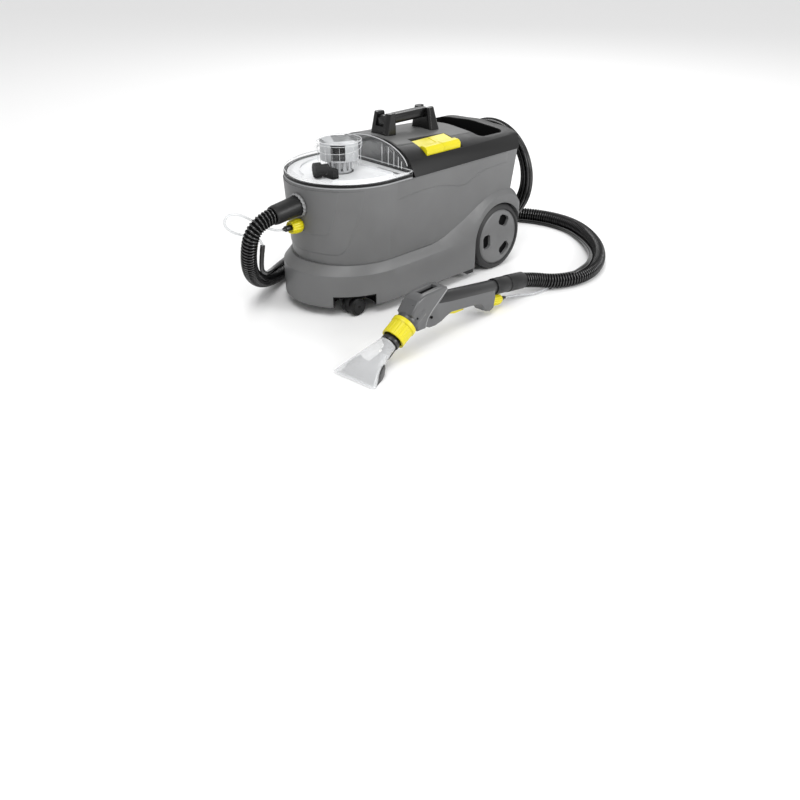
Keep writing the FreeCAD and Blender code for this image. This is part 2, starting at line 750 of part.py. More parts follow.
def float_cage():
    """White suction dome under the turret, with its air window and a ribbed cage below."""
    y, deck = size("turret_y"), size("flange_high") + 3.3
    dome_low, dome_high = 352, size("turret_height") - 2.5
    cap = Part.makeCylinder(46, dome_high - dome_low, Vector(0, y, dome_low))
    cap = cap.cut(Part.makeCylinder(44, dome_high - dome_low - 2, Vector(0, y, dome_low - 1)))
    floor = Part.makeCylinder(45, 2, Vector(0, y, dome_low - 1))
    cage = Part.makeCylinder(29, dome_low - deck, Vector(0, y, deck))
    shape = cap.fuse(floor).fuse(cage).cut(Part.makeCylinder(26.5, 60, Vector(0, y, deck - 1)))
    slot = block((-3, -60, deck + 5), (3, 60, dome_low - 6))
    slots = slot.copy()
    for i in range(1, 6):
        turned = slot.copy()
        turned.rotate(Vector(), Vector(0, 0, 1), 30 * i)
        slots = slots.fuse(turned)
    slots.translate(Vector(0, y, 0))
    window = block((-17, -60, dome_low + 3), (17, -20, dome_high - 3))
    window.rotate(Vector(), Vector(0, 0, 1), CAGE_WINDOW)
    window.translate(Vector(0, y, 0))
    foot = Part.makeCylinder(29, 3, Vector(0, y, deck))
    return shape.cut(slots).cut(window).fuse(foot.cut(Part.makeCylinder(6, 9, Vector(0, y, deck - 3))))


def air_intake():
    """Black air duct seen through the window of the suction dome."""
    y = size("turret_y")
    shape = block((-20, -36, 354), (20, 8, 387))
    shape.rotate(Vector(), Vector(0, 0, 1), CAGE_WINDOW)
    shape.translate(Vector(0, y, 0))
    return shape.cut(Part.makeCylinder(15, 30, Vector(0, y, 340)))


def lint_filter():
    """Black inlet filter on the deck: a toothed knob, a barrel and a square foot."""
    along = Vector(-0.35, -0.93, 0)
    centre = FILTER_BASE + Vector(0, 0, 339.5)
    shape = Part.makeCylinder(16, 14, centre + along * 10, along)
    tooth = block((-2.4, -1, 14), (2.4, 15, 17.8))
    for i in range(14):
        turned = tooth.copy()
        turned.rotate(Vector(0, 0, 0), Vector(0, 1, 0), i * 360 / 14)
        turned.rotate(Vector(0, 0, 0), Vector(0, 0, 1), -20.6 + 180)
        turned.translate(centre + along * 10)
        shape = shape.fuse(turned)
    shape = shape.fuse(Part.makeCylinder(13, 26, centre - along * 10, along))
    foot = block((12, -250, size("flange_high") + 3.1), (48, -232, 343))
    return shape.fuse(foot)


node(feature("waste_tank", waste_tank()), "waste_tank")
node(feature("tank_deck", tank_deck()), "tank_deck")
node(feature("lid_seal", lid_seal()), "lid_seal")
node(feature("tank_lid", tank_lid()), "tank_lid")
node(feature("float_cage", float_cage()), "float_cage")
node(feature("air_intake", air_intake()), "air_intake")
float_ball = doc.addObject("Part::Sphere", "float_ball")
float_ball.Radius = 13
node(place(float_ball, ("0", "turret_y", "flange_high + 3.3 + 3 + 11.6")), "float_ball")
node(feature("lint_filter", lint_filter()), "lint_filter")

# ---------------------------------------------------------------- inside the housing
water_tank = box("water_outer", ("260", "195", "168"), ("-130", "-70", "132"))
water_room = box("water_room", ("254", "189", "162"), ("-127", "-67", "135"))
node(cut("water_tank", water_tank, water_room), "fresh_water_tank")
motor_can = cylinder("motor_can", "62", "66", ("0", "30", "32"))
motor_room = cylinder("motor_room", "58", "60", ("0", "30", "35"))
node(cut("motor", motor_can, motor_room), "vacuum_motor")
fan_disc = cylinder("fan_disc", "52", "14", ("0", "30", "60"))
fan_hub = cylinder("fan_hub", "8", "59.6", ("0", "30", "35.2"))
node(joined("fan", fan_disc, fan_hub), "fan_rotor")
pump_block = box("pump_block", ("56", "80", "50"), ("-128", "-70", "32"))
pump_head = cylinder("pump_head", "18", "30", ("-100", "10", "57"), ALONG_Y)
node(joined("pump", pump_block, pump_head), "spray_pump")


# ---------------------------------------------------------------- suction port and spray socket
def facing(vector):
    """Rotation that turns +X onto a direction."""
    return Rotation(Vector(1, 0, 0), Vector(*vector))


PORT_DIRECTION = (0, -math.cos(math.radians(PORT_TILT)), -math.sin(math.radians(PORT_TILT)))
port = revolved("port", [("-4", "port_bore"), ("46", "port_bore"), ("46", "cuff_radius - 3.6"),
                         ("6", "cuff_radius - 3.6"), ("6", "cuff_radius + 5"),
                         ("3.4", "cuff_radius + 5"), ("3.4", "cuff_radius - 3.6"),
                         ("-4", "cuff_radius - 3.6")],
                ("0", "-314", "port_height - 0.4"), facing(PORT_DIRECTION))
node(port, "suction_port")
node(revolved("cuff", [("6.2", "cuff_radius - 3.5"), ("60", "cuff_radius - 3.5"),
                       ("60", "port_bore"), ("82", "port_bore"), ("82", "cuff_radius - 2.5"),
                       ("74", "cuff_radius - 1"), ("14", "cuff_radius"),
                       ("6.2", "cuff_radius - 0.5")],
              ("0", "-314", "port_height - 0.4"), facing(PORT_DIRECTION)),
     "hose_cuff_machine")
node(revolved("socket", [("-6", "3"), ("26", "3"), ("26", "10"), ("30", "coupling_radius - 2"),
                         ("30", "coupling_radius"), ("6", "coupling_radius + 1"),
                         ("4", "11.5"), ("0", "11.5"), ("0", "8.5"), ("-6", "8.5")],
              ("0", "-313.5", "spray_height"), facing((0, -1, 0))),
     "spray_socket")
node(revolved("plug_tip", [("0", "1"), ("24", "1"), ("24", "4"), ("18", "4"), ("18", "7"),
                           ("0", "7")],
              ("0", "-343.6", "spray_height"), facing((0, -1, 0))),
     "spray_connector_machine")

# ---------------------------------------------------------------- cords
# suction hose: from the machine's cuff down to the floor, round behind the machine
# and back to the hand tool
HOSE_ROUTE = [
    (0, -395.4, 256.6), (0, -426, 252), (-7, -453, 225), (-21, -455, 180), (-44, -441, 131),
    (-80, -405, 86), (-128, -346, 45), (-180, -262, 20), (-222, -156, 20), (-258, -30, 20),
    (-278, 104, 20), (-272, 240, 20), (-238, 368, 20), (-178, 478, 20), (-96, 564, 20),
    (4, 622, 20), (116, 628, 20), (222, 574, 20), (312, 490, 20), (372, 390, 20),
    (386, 296, 20), (358, 226, 21), (329, 178, 32), (323, 128.6, 42.6),
]
# where the spray sleeve rides round the hose at each point: degrees up from the side
# that is on the right when looking from the machine towards the tool
SLEEVE_SIDES = [0, 0, 0, 0, 0, 20, 55, 90, 110, 90, 60, 30, 0, -20, -30, -30, -30, -20,
                10, 55, 105, 150, 200, 200]
SLEEVE_FIRST, SLEEVE_LAST = 3, 21


def riding_point(i, reach):
    """A point beside the hose, at the stated side and distance from its centre."""
    before = Vector(*HOSE_ROUTE[max(i - 1, 0)])
    after = Vector(*HOSE_ROUTE[min(i + 1, len(HOSE_ROUTE) - 1)])
    along = (after - before).normalize()
    right = Vector(along.y, -along.x, 0).normalize()
    over = right.cross(along)
    angle = math.radians(SLEEVE_SIDES[i])
    return Vector(*HOSE_ROUTE[i]) + (right * math.cos(angle) + over * math.sin(angle)) * reach


def cord_path(points):
    """Straight runs joined by tangent arcs, each as large as its two runs allow."""
    edges, radii, here = [], [], points[0]
    for before, corner, after in zip(points, points[1:], points[2:]):
        inward, outward = before - corner, after - corner
        half_turn = (math.pi - inward.getAngle(outward)) / 2
        tangent = 0.45 * min(inward.Length, outward.Length)
        radii.append(tangent / math.tan(half_turn))
        inward.normalize()
        outward.normalize()
        start, end = corner + inward * tangent, corner + outward * tangent
        bisector = (inward + outward).normalize()
        depth = radii[-1] / math.cos(half_turn) - radii[-1]
        edges.append(Part.LineSegment(here, start).toShape())
        edges.append(Part.Arc(start, corner + bisector * depth, end).toShape())
        here = end
    edges.append(Part.LineSegment(here, points[-1]).toShape())
    return Part.Wire(edges), radii


def cord(name, points, diameter):
    """A round cord swept along its route; prints its length and its bend radii."""
    path, radii = cord_path(points)
    first = path.Edges[0]
    circle = Part.Circle(points[0], first.tangentAt(first.FirstParameter), diameter / 2)
    section = Part.Wire(circle.toShape())
    solid = path.makePipeShell([section], True, False)
    expected = math.pi * diameter ** 2 / 4 * path.Length
    print("%s: length %.0f, volume ratio %.3f, lowest %.1f, bend radii in diameters:"
          % (name, path.Length, solid.Volume / expected, solid.optimalBoundingBox(False).ZMin),
          " ".join("%.1f" % (radius / diameter) for radius in radii))
    return feature(name, solid)


def as_points(route):
    return [Vector(*point) for point in route]


node(cord("hose", as_points(HOSE_ROUTE), size("hose_diameter")), "suction_hose")
SLEEVE_REACH = (size("hose_diameter") + size("sleeve_diameter")) / 2 + 1.6
SLEEVE_POINTS = [riding_point(i, SLEEVE_REACH) for i in range(SLEEVE_FIRST, SLEEVE_LAST + 1)]
SLEEVE_POINTS[0] = Vector(-7, -424, 190)
SLEEVE_POINTS[-1] = Vector(352, 210, 7)
node(cord("sleeve", SLEEVE_POINTS, size("sleeve_diameter")), "spray_sleeve")

# clear spray tube: a free loop at the machine, and a short free stretch at the tool
LOOP_ROUTE = [(0, -367.6, 217), (-5, -384, 217), (-24, -403, 226), (-36, -430, 247),
              (-39, -462, 268), (-42, -490, 271), (-45, -501, 252), (-46, -484, 230),
              (-42, -456, 215), (-29, -432, 208), (-12, -424, 203), (-7, -424, 190)]
LOOP_ROUTE[-1] = tuple(SLEEVE_POINTS[0])
node(cord("loop", as_points(LOOP_ROUTE), size("tube_diameter")), "spray_tube_machine")

# ---------------------------------------------------------------- hand tool
MOUTH = Vector(367.5, -478, 0)
TOOL_TURN = math.degrees(math.asin(0.073))
TOOL_PLACE = Placement(MOUTH, Rotation(Vector(0, 0, 1), TOOL_TURN))
GRIP_SLOPE, NECK_SLOPE = 9.5, 29
GRIP_START, RING_CENTRE = Vector(0, 262, 100.5), Vector(0, 140, 66)


def sloped(degrees):
    """Direction in the tool's upright plane, rising towards the hose end."""
    return Vector(0, math.cos(math.radians(degrees)), math.sin(math.radians(degrees)))


def tool_tube(radius, start, direction, low, high):
    return Part.makeCylinder(radius, high - low, start + direction * low, direction)


GRIP_AXIS, NECK_AXIS = sloped(-GRIP_SLOPE), sloped(NECK_SLOPE)


def tool_slab(points, half_width, fillet=0.0):
    """An outline of (s, height) points, padded to both sides of the tool's plane."""
    corners = [Vector(-half_width, s, z) for s, z in points]
    face = Part.Face(Part.makePolygon(corners + corners[:1]))
    solid = face.extrude(Vector(2 * half_width, 0, 0))
    if fillet:
        side = [edge for edge in solid.Edges if abs(abs(edge.CenterOfMass.x) - half_width) < 0.01]
        solid = solid.makeFillet(fillet, side)
    return solid


def tool_node(name, shape):
    item = feature(name, shape)
    item.Placement = TOOL_PLACE
    return node(item, name)


def fan_wire(s, centre_z, half_width, half_depth, corner, slope):
    """Rounded rectangle or near-circle across the nozzle, tilted by the neck's slope."""
    across, up = Vector(1, 0, 0), sloped(slope + 90)
    middle = Vector(0, s, centre_z)

    def at(u, v):
        return middle + across * u + up * v
    w, d, c = half_width, half_depth, corner
    k = c * (1 - math.sqrt(0.5))
    edges = []
    for su, sv, turn in ((1, 1, 0), (-1, 1, 1), (-1, -1, 0), (1, -1, 1)):
        start, end = at(su * w, sv * (d - c)), at(su * (w - c), sv * d)
        if turn:
            start, end = end, start
        edges.append(Part.Arc(start, at(su * (w - k), sv * (d - k)), end).toShape())
    wire = []
    for i, arc in enumerate(edges):
        wire.append(arc)
        nearby = edges[(i + 1) % 4]
        wire.append(Part.LineSegment(arc.valueAt(arc.LastParameter),
                                     nearby.valueAt(nearby.FirstParameter)).toShape())
    return Part.Wire(wire)


def fan(inset):
    """Nozzle fan from the floor mouth to the neck."""
    mouth = size("mouth_width") / 2
    return Part.makeLoft([fan_wire(-2, 3.6, mouth - inset, 7 - inset, 4 - inset, 62),
                          fan_wire(30, 22, mouth - 17 - inset, 9 - inset, 5 - inset, 35),
                          fan_wire(80, 42, 25 - inset, 16 - inset, 13 - inset, 29),
                          fan_wire(104, 50, 19.5 - inset, 19.5 - inset, 19 - inset, 29)],
                         True, False)


def nozzle_cover():
    return fan(0).cut(fan(1.8)).cut(tool_tube(18.2, RING_CENTRE, NECK_AXIS, -60, 0))


def nozzle_body():
    """Black lower half: the neck that plugs into the ring, and the rounded toe."""
    neck = tool_tube(18, RING_CENTRE, NECK_AXIS, -52, 16).cut(
        tool_tube(15, RING_CENTRE, NECK_AXIS, -60, 20))
    collar = tool_tube(22, RING_CENTRE, NECK_AXIS, -36, -28)
    collar = collar.cut(tool_tube(15, RING_CENTRE, NECK_AXIS, -60, 20))
    toe = tool_slab([(8, 0), (40, 0), (52, 6), (58, 18), (55, 29), (46, 28), (30, 21), (12, 8)],
                    60)
    plan = [(-57, -5), (57, -5), (45, 30), (34, 60), (-34, 60), (-45, 30)]
    plan = [Vector(x, s, -5) for x, s in plan]
    toe = toe.common(Part.Face(Part.makePolygon(plan + plan[:1])).extrude(Vector(0, 0, 60)))
    rib = tool_slab([(40, 26), (46, 8), (68, 12), (96, 20), (122, 36), (116, 48), (80, 30)], 12)
    shape = neck.fuse(collar).fuse(toe).fuse(rib).cut(fan(0))
    bore = tool_tube(15, RING_CENTRE, NECK_AXIS, -60, 20)
    return shape.cut(bore)


def lock_ring():
    """Yellow ribbed nut that clamps the nozzle to the elbow."""
    shape = tool_tube(size("ring_radius"), RING_CENTRE, NECK_AXIS, -23, 23)
    shape = shape.fuse(tool_tube(size("ring_radius") + 1.5, RING_CENTRE, NECK_AXIS, 13, 23))
    groove = Part.makeCylinder(2, 32, Vector(), Vector(0, 0, 1))
    groove.Placement = Placement(RING_CENTRE + NECK_AXIS * -21, Rotation(Vector(0, 0, 1), NECK_AXIS))
    for i in range(16):
        turned = groove.copy()
        offset = Rotation(NECK_AXIS, i * 22.5).multVec(Vector(size("ring_radius") + 0.8, 0, 0))
        turned.translate(offset)
        shape = shape.cut(turned)
    return shape.cut(tool_tube(size("neck_radius") + 0.4, RING_CENTRE, NECK_AXIS, -30, 30))


HOOD = [(158, 104), (181, 130), (205, 137), (266, 138), (281, 134), (285, 126), (262, 108),
        (214, 78), (207, 56), (180, 58)]
GRIP_SHELL = [(206, 60), (226, 50), (246, 48), (268, 51), (284, 57), (304, 62), (408, 47),
              (424, 38), (440, 18), (456, 13), (471, 17), (476, 44), (474, 64), (304, 92),
              (240, 106), (206, 106)]


def housing_shape():
    """Grey elbow housing that wraps the grip tube, with a valve hump and a rear boss."""
    half = size("housing_width") / 2
    shape = tool_slab(HOOD, half, 5).fuse(tool_slab(GRIP_SHELL, half - 5, 3))
    shape = shape.fuse(tool_tube(size("neck_radius") + 2, RING_CENTRE, NECK_AXIS, 24, 70))
    shape = shape.cut(block((-9, 205, 130), (9, 262, 150)))
    shape = shape.cut(tool_tube(size("neck_radius") - 3, RING_CENTRE, NECK_AXIS, 0, 80))
    spigot = tool_tube(size("neck_radius"), RING_CENTRE, NECK_AXIS, -10, 25)
    shape = shape.fuse(spigot.cut(tool_tube(19, RING_CENTRE, NECK_AXIS, -20, 60)))
    shape = shape.cut(tool_tube(size("grip_radius") + 0.05, GRIP_START, GRIP_AXIS, -44, 260))
    shape = shape.cut(block((-8.5, 286, 30), (8.5, 372, 75)).common(trigger_room()))
    screws = Part.makeCylinder(3, 100, Vector(-50, 228, 76), Vector(1, 0, 0))
    screws = screws.fuse(Part.makeCylinder(3, 100, Vector(-50, 175, 92), Vector(1, 0, 0)))
    recess = screws.cut(block((9 - half, 100, 0), (half - 9, 300, 200)))
    pin = Part.makeCylinder(1.5, 2 * half - 16, TRIGGER_PIVOT + Vector(8 - half, 0, 0),
                            Vector(1, 0, 0))
    return shape.cut(recess).fuse(pin)


def trigger_room():
    return tool_slab([(284, 30), (374, 30), (374, 60), (300, 78), (284, 78)], 8.5)


TRIGGER_PIVOT = Vector(0, 294, 64)


def trigger():
    """Yellow spray trigger hung on a pin under the grip."""
    shape = tool_slab([(289, 70), (300, 70), (356, 55), (366, 51), (362, 45), (330, 47),
                       (298, 56), (288, 62)], 7.5, 2)
    return shape.cut(Part.makeCylinder(1.55, 40, TRIGGER_PIVOT + Vector(-20, 0, 0),
                                       Vector(1, 0, 0)))


def grip_tube():
    """Black grip tube from the elbow to the hose cuff."""
    tube = tool_tube(size("grip_radius"), GRIP_START, GRIP_AXIS, -38, 244)
    return tube.cut(tool_tube(size("grip_radius") - 2.5, GRIP_START, GRIP_AXIS, -40, 250))


def tool_cuffs():
    """Hose end at the tool: a swivel sleeve over the grip tube, then the hose's own cuff."""
    swivel = tool_tube(20.5, GRIP_START, GRIP_AXIS, 226, 284)
    swivel = swivel.cut(tool_tube(18.1, GRIP_START, GRIP_AXIS, 220, 246))
    swivel = swivel.cut(tool_tube(15.5, GRIP_START, GRIP_AXIS, 240, 290))
    rear = tool_tube(21.5, GRIP_START, GRIP_AXIS, 284, 351)
    return Part.makeCompound([swivel, rear.cut(tool_tube(17, GRIP_START, GRIP_AXIS, 280, 360))])


COUPLING_START = Vector(0, 476.5, 28)


def tool_coupling():
    shape = tool_tube(13.5, COUPLING_START, GRIP_AXIS, 0, 44)
    shape = shape.fuse(tool_tube(14.5, COUPLING_START, GRIP_AXIS, 6, 36))
    return shape.cut(tool_tube(3, COUPLING_START, GRIP_AXIS, -5, 50))


def tool_connector():
    shape = tool_tube(5, COUPLING_START, GRIP_AXIS, 44, 58)
    shape = shape.fuse(tool_tube(3.6, COUPLING_START, GRIP_AXIS, 58, 66))
    return shape.cut(tool_tube(1, COUPLING_START, GRIP_AXIS, 40, 70))


tool_node("tool_housing", housing_shape())
tool_node("tool_grip_tube", grip_tube())
tool_node("tool_trigger", trigger())
tool_node("tool_lock_ring", lock_ring())
tool_node("nozzle_body", nozzle_body())
tool_node("nozzle_cover", nozzle_cover())
tool_node("hose_cuff_tool", tool_cuffs())
tool_node("tool_coupling", tool_coupling())
tool_node("spray_connector_tool", tool_connector())

TUBE_END = TOOL_PLACE.multVec(COUPLING_START + GRIP_AXIS * 66)
TOOL_TUBE_ROUTE = [tuple(SLEEVE_POINTS[-1]), (352, 178, 5), (344, 142, 6), (334, 106, 12),
                   tuple(TUBE_END)]
node(cord("tool_tube", as_points(TOOL_TUBE_ROUTE), size("tube_diameter")), "spray_tube_tool")

# ---------------------------------------------------------------- power cord
node(revolved("gland", [("0", "0"), ("0", "12"), ("16", "12"), ("18", "8.5"), ("44", "6"),
                        ("44", "0")],
              ("-112", "hank_y", "70"), facing((0, 0, 1))), "cable_gland")
bracket = box("gland_bracket", ("34", "hank_y - base_rear + 14", "40"),
              ("-129", "base_rear", "50"))
gland_room = cylinder("gland_room", "12", "60", ("-112", "hank_y", "70"))
node(cut("cable_boss_part", bracket, gland_room), "cable_boss")
hank = doc.addObject("Part::Torus", "hank")
hank.setExpression("Radius1", formula("hank_radius"))
hank.setExpression("Radius2", formula("hank_bundle"))
node(place(hank, ("hank_x", "hank_y", "hank_height"), ALONG_Y), "power_cord_hank")
LEAD_ROUTE = [(-112, 358, 114), (-112, 358, 128), (-110, 358, 143), (-104, 358, 158)]
node(cord("lead", as_points(LEAD_ROUTE), size("cord_diameter")), "power_cord_lead")
TAIL_ROUTE = [(-112, 358, 258), (-128, 358, 246), (-140, 358, 228), (-146, 358, 206),
              (-148, 358, 184)]
node(cord("tail", as_points(TAIL_ROUTE), size("cord_diameter")), "power_cord_tail")
plug_body = cone("plug_body", "19", "8", "46", ("-148", "hank_y", "138"))
plug_pins = [cylinder("plug_pin_%d" % i, "2.4", "19", (x, "hank_y", "119"))
             for i, x in enumerate(("-157.5", "-138.5"))]
node(joined("plug", plug_body, *plug_pins), "power_plug")
hook_points = [("rim_rear - 4", "318"), ("hank_y + 13.6", "318"), ("hank_y + 19", "324"),
               ("hank_y + 19", "352"), ("hank_y + 14", "355"),
               ("hank_y + 13.6", "330.4"), ("rim_rear - 4", "330.4")]
hook = padded("hook", "YZ_Plane", hook_points, "34", ("hank_x", "0", "0"))
shell_box = feature("hook_clear", roof_solid(0, FRONT, REAR).common(
    prism(size("rim_half") + 1, size("rim_nose"), size("rim_rear") + 2, size("corner"), 290, 420)))
node(cut("hook_part", hook, shell_box), "cable_hook")

# ---------------------------------------------------------------- check and write
doc.recompute()
for item in doc.Objects:
    if "Invalid" in item.State or "Error" in item.State:
        raise SystemExit("failed feature: " + item.Name)
for item in NODES:
    if item.Shape.isNull() or not item.Shape.isValid():
        raise SystemExit("bad shape: " + item.Label)
    item.Shape.exportStep(os.path.join("parts", item.Label + ".step"))
print("%d sub-parts written" % len(NODES))
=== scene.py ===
"""Looks of a wheeled carpet cleaner with its suction hose and hand tool.

Everything is in metres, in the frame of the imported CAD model: +Z up, -Y the hose end,
+Y the end with the large wheels, +X the side with the pedal switches.
"""
import math

import bmesh
import bpy
from mathutils import Matrix, Vector


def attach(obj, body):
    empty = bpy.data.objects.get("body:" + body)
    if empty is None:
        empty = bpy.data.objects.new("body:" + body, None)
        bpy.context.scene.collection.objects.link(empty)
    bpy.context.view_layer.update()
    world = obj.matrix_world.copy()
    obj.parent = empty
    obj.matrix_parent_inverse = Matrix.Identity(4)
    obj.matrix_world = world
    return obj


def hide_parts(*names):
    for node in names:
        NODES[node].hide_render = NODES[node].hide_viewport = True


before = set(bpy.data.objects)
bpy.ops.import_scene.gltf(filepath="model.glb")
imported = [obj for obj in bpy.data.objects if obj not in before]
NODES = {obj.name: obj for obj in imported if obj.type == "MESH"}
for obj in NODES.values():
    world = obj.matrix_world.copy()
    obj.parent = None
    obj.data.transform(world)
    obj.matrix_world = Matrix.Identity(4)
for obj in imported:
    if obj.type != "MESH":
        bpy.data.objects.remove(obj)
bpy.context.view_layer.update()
MM = 0.001


# ---------------------------------------------------------------- camera, light and floor
CAMERA_AT = Vector((1.696, -1.648, 0.959))
CAMERA_AZIMUTH = math.radians(45.55)
CAMERA_ELEVATION = math.radians(29.66)


def looking_back(azimuth, elevation):
    """Unit vector from the object towards a viewer at these angles."""
    return Vector((math.sin(azimuth) * math.cos(elevation),
                   -math.cos(azimuth) * math.cos(elevation), math.sin(elevation)))


def add_camera():
    data = bpy.data.cameras.new("camera")
    data.lens = 42.3
    data.sensor_width = 36
    data.clip_end = 50
    camera = bpy.data.objects.new("camera", data)
    camera.location = CAMERA_AT
    back = looking_back(CAMERA_AZIMUTH, CAMERA_ELEVATION)
    camera.rotation_euler = (-back).to_track_quat("-Z", "Y").to_euler()
    bpy.context.scene.collection.objects.link(camera)
    bpy.context.scene.camera = camera


def add_area_light(name, at, size, power, target=(0, 0, 0.2)):
    data = bpy.data.lights.new(name, "AREA")
    data.size = size
    data.energy = power
    light = bpy.data.objects.new(name, data)
    light.location = at
    light.rotation_euler = (Vector(target) - Vector(at)).to_track_quat("-Z", "Y").to_euler()
    bpy.context.scene.collection.objects.link(light)


def add_world(strength):
    world = bpy.data.worlds.new("studio")
    world.use_nodes = True
    background = world.node_tree.nodes["Background"]
    background.inputs["Color"].default_value = (1, 1, 1, 1)
    background.inputs["Strength"].default_value = strength
    bpy.context.scene.world = world


def add_floor():
    """A large pale flat floor."""
    mesh = bpy.data.meshes.new("floor")
    half = 14
    mesh.from_pydata([(-half, -half, 0), (half, -half, 0), (half, half, 0), (-half, half, 0)],
                     [], [(0, 1, 2, 3)])
    floor = bpy.data.objects.new("floor", mesh)
    bpy.context.scene.collection.objects.link(floor)
    material = bpy.data.materials.new("pale_floor")
    material.use_nodes = True
    nodes, links = material.node_tree.nodes, material.node_tree.links
    shader = nodes["Principled BSDF"]
    grain = nodes.new("ShaderNodeTexNoise")
    grain.inputs["Scale"].default_value = 3
    ramp = nodes.new("ShaderNodeValToRGB")
    ramp.color_ramp.elements[0].color = (0.9, 0.9, 0.9, 1)
    ramp.color_ramp.elements[1].color = (0.93, 0.93, 0.93, 1)
    links.new(grain.outputs["Fac"], ramp.inputs["Fac"])
    links.new(ramp.outputs["Color"], shader.inputs["Base Color"])
    shader.inputs["Roughness"].default_value = 0.7
    mesh.materials.append(material)


bpy.context.scene.view_settings.view_transform = "Standard"
add_camera()
add_world(0.8)
add_floor()
add_area_light("key", (1.1, -1.5, 3.0), 1.6, 48)
add_area_light("side", (3.2, 1.0, 1.5), 1.4, 62)
add_area_light("rim", (-1.6, 2.2, 2.4), 1.6, 30)


# ---------------------------------------------------------------- materials
def node_material(name):
    material = bpy.data.materials.new(name)
    material.use_nodes = True
    tree = material.node_tree
    return material, tree.nodes, tree.links, tree.nodes["Principled BSDF"]


def object_coordinates(nodes):
    return nodes.new("ShaderNodeTexCoord").outputs["Object"]


def noise(nodes, links, scale, detail=3.0, roughness=0.55):
    texture = nodes.new("ShaderNodeTexNoise")
    texture.inputs["Scale"].default_value = scale
    texture.inputs["Detail"].default_value = detail
    texture.inputs["Roughness"].default_value = roughness
    links.new(object_coordinates(nodes), texture.inputs["Vector"])
    return texture.outputs["Fac"]


def ramp_between(nodes, links, factor, low, high, start=0.3, end=0.7):
    ramp = nodes.new("ShaderNodeValToRGB")
    ramp.color_ramp.elements[0].position = start
    ramp.color_ramp.elements[1].position = end
    ramp.color_ramp.elements[0].color = (*low, 1)
    ramp.color_ramp.elements[1].color = (*high, 1)
    links.new(factor, ramp.inputs["Fac"])
    return ramp.outputs["Color"]


def mapped(nodes, links, factor, low, high):
    node = nodes.new("ShaderNodeMapRange")
    node.inputs["To Min"].default_value = low
    node.inputs["To Max"].default_value = high
    links.new(factor, node.inputs["Value"])
    return node.outputs["Result"]


def bump(nodes, links, shader, height, strength, distance):
    node = nodes.new("ShaderNodeBump")
    node.inputs["Strength"].default_value = strength
    node.inputs["Distance"].default_value = distance
    links.new(height, node.inputs["Height"])
    links.new(node.outputs["Normal"], shader.inputs["Normal"])


def moulded(name, colour, roughness, grain=900.0, grain_depth=0.0001, spread=0.06, coat=0.0,
            shine=0.5):
    """Moulded plastic: a fine grain, a slight drift of tone and an uneven gloss."""
    material, nodes, links, shader = node_material(name)
    drift = noise(nodes, links, 9.0, 2.0)
    darker = tuple(c * (1 - spread) for c in colour)
    paler = tuple(min(1.0, c * (1 + spread)) for c in colour)
    links.new(ramp_between(nodes, links, drift, darker, paler), shader.inputs["Base Color"])
    smudge = noise(nodes, links, 40.0, 5.0)
    links.new(mapped(nodes, links, smudge, roughness - 0.07, roughness + 0.09),
              shader.inputs["Roughness"])
    bump(nodes, links, shader, noise(nodes, links, grain, 2.0, 0.6), 0.35, grain_depth)
    shader.inputs["Specular IOR Level"].default_value = shine
    shader.inputs["Coat Weight"].default_value = coat
    shader.inputs["Coat Roughness"].default_value = 0.12
    return material


def clear(name, tint, facing_alpha, edge_alpha, roughness=0.04):
    """Clear moulded plastic: nearly see-through face on, brighter towards its edges."""
    material, nodes, links, shader = node_material(name)
    drift = noise(nodes, links, 14.0, 2.0)
    links.new(ramp_between(nodes, links, drift, tuple(c * 0.93 for c in tint), tint),
              shader.inputs["Base Color"])
    weight = nodes.new("ShaderNodeLayerWeight")
    weight.inputs["Blend"].default_value = 0.13
    links.new(mapped(nodes, links, weight.outputs["Facing"], facing_alpha, edge_alpha),
              shader.inputs["Alpha"])
    links.new(mapped(nodes, links, noise(nodes, links, 60.0), roughness, roughness + 0.05),
              shader.inputs["Roughness"])
    shader.inputs["IOR"].default_value = 1.49
    shader.inputs["Specular IOR Level"].default_value = 1.0
    bump(nodes, links, shader, noise(nodes, links, 30.0, 1.0), 0.2, 0.0002)
    return material


def turned_steel(name):
    material, nodes, links, shader = node_material(name)
    streaks = noise(nodes, links, 700.0, 1.0)
    links.new(ramp_between(nodes, links, streaks, (0.45, 0.45, 0.46), (0.7, 0.7, 0.72)),
              shader.inputs["Base Color"])
    shader.inputs["Metallic"].default_value = 1.0
    links.new(mapped(nodes, links, streaks, 0.22, 0.4), shader.inputs["Roughness"])
    return material


GREY = moulded("grey_satin_plastic", (0.116, 0.117, 0.118), 0.42, shine=0.4)
GREY_PANEL = moulded("grey_panel_plastic", (0.095, 0.096, 0.095), 0.5, shine=0.3)
HUB_GREY = moulded("grey_hub_plastic", (0.12, 0.121, 0.122), 0.4)
TOOL_GREY = moulded("grey_tool_plastic", (0.068, 0.069, 0.071), 0.3, coat=0.15)
TOOL_DARK = moulded("dark_grey_tool_plastic", (0.04, 0.041, 0.042), 0.34)
# Pale grey: the real colour of the port's teeth, and a painted highlight on the tool's diagonal
# seams.
PALE_GREY_AND_HIGHLIGHT = moulded("pale_grey_and_painted_highlight_plastic", (0.22, 0.223, 0.226), 0.32)
BLACK = moulded("black_cover_plastic", (0.0065, 0.0065, 0.0067), 0.42, shine=0.25)
BLACK_GLOSS = moulded("black_handle_plastic", (0.004, 0.004, 0.0042), 0.22, shine=0.35)
BLACK_TUBE = moulded("black_tube_plastic", (0.014, 0.014, 0.0145), 0.3, shine=0.4)
# Darkest, nearly shineless black: the lint filter's black plastic, and painted shade in the tray
# and caster wells, hub pockets, screw holes and tool slot.
BLACK_AND_SHADE = moulded("black_plastic_and_painted_shade", (0.0015, 0.0015, 0.0016), 0.6, shine=0.08)
YELLOW = moulded("yellow_plastic", (0.58, 0.505, 0.004), 0.34, spread=0.03, shine=0.4)
WHITE = moulded("white_plastic", (0.82, 0.83, 0.84), 0.38, spread=0.03)
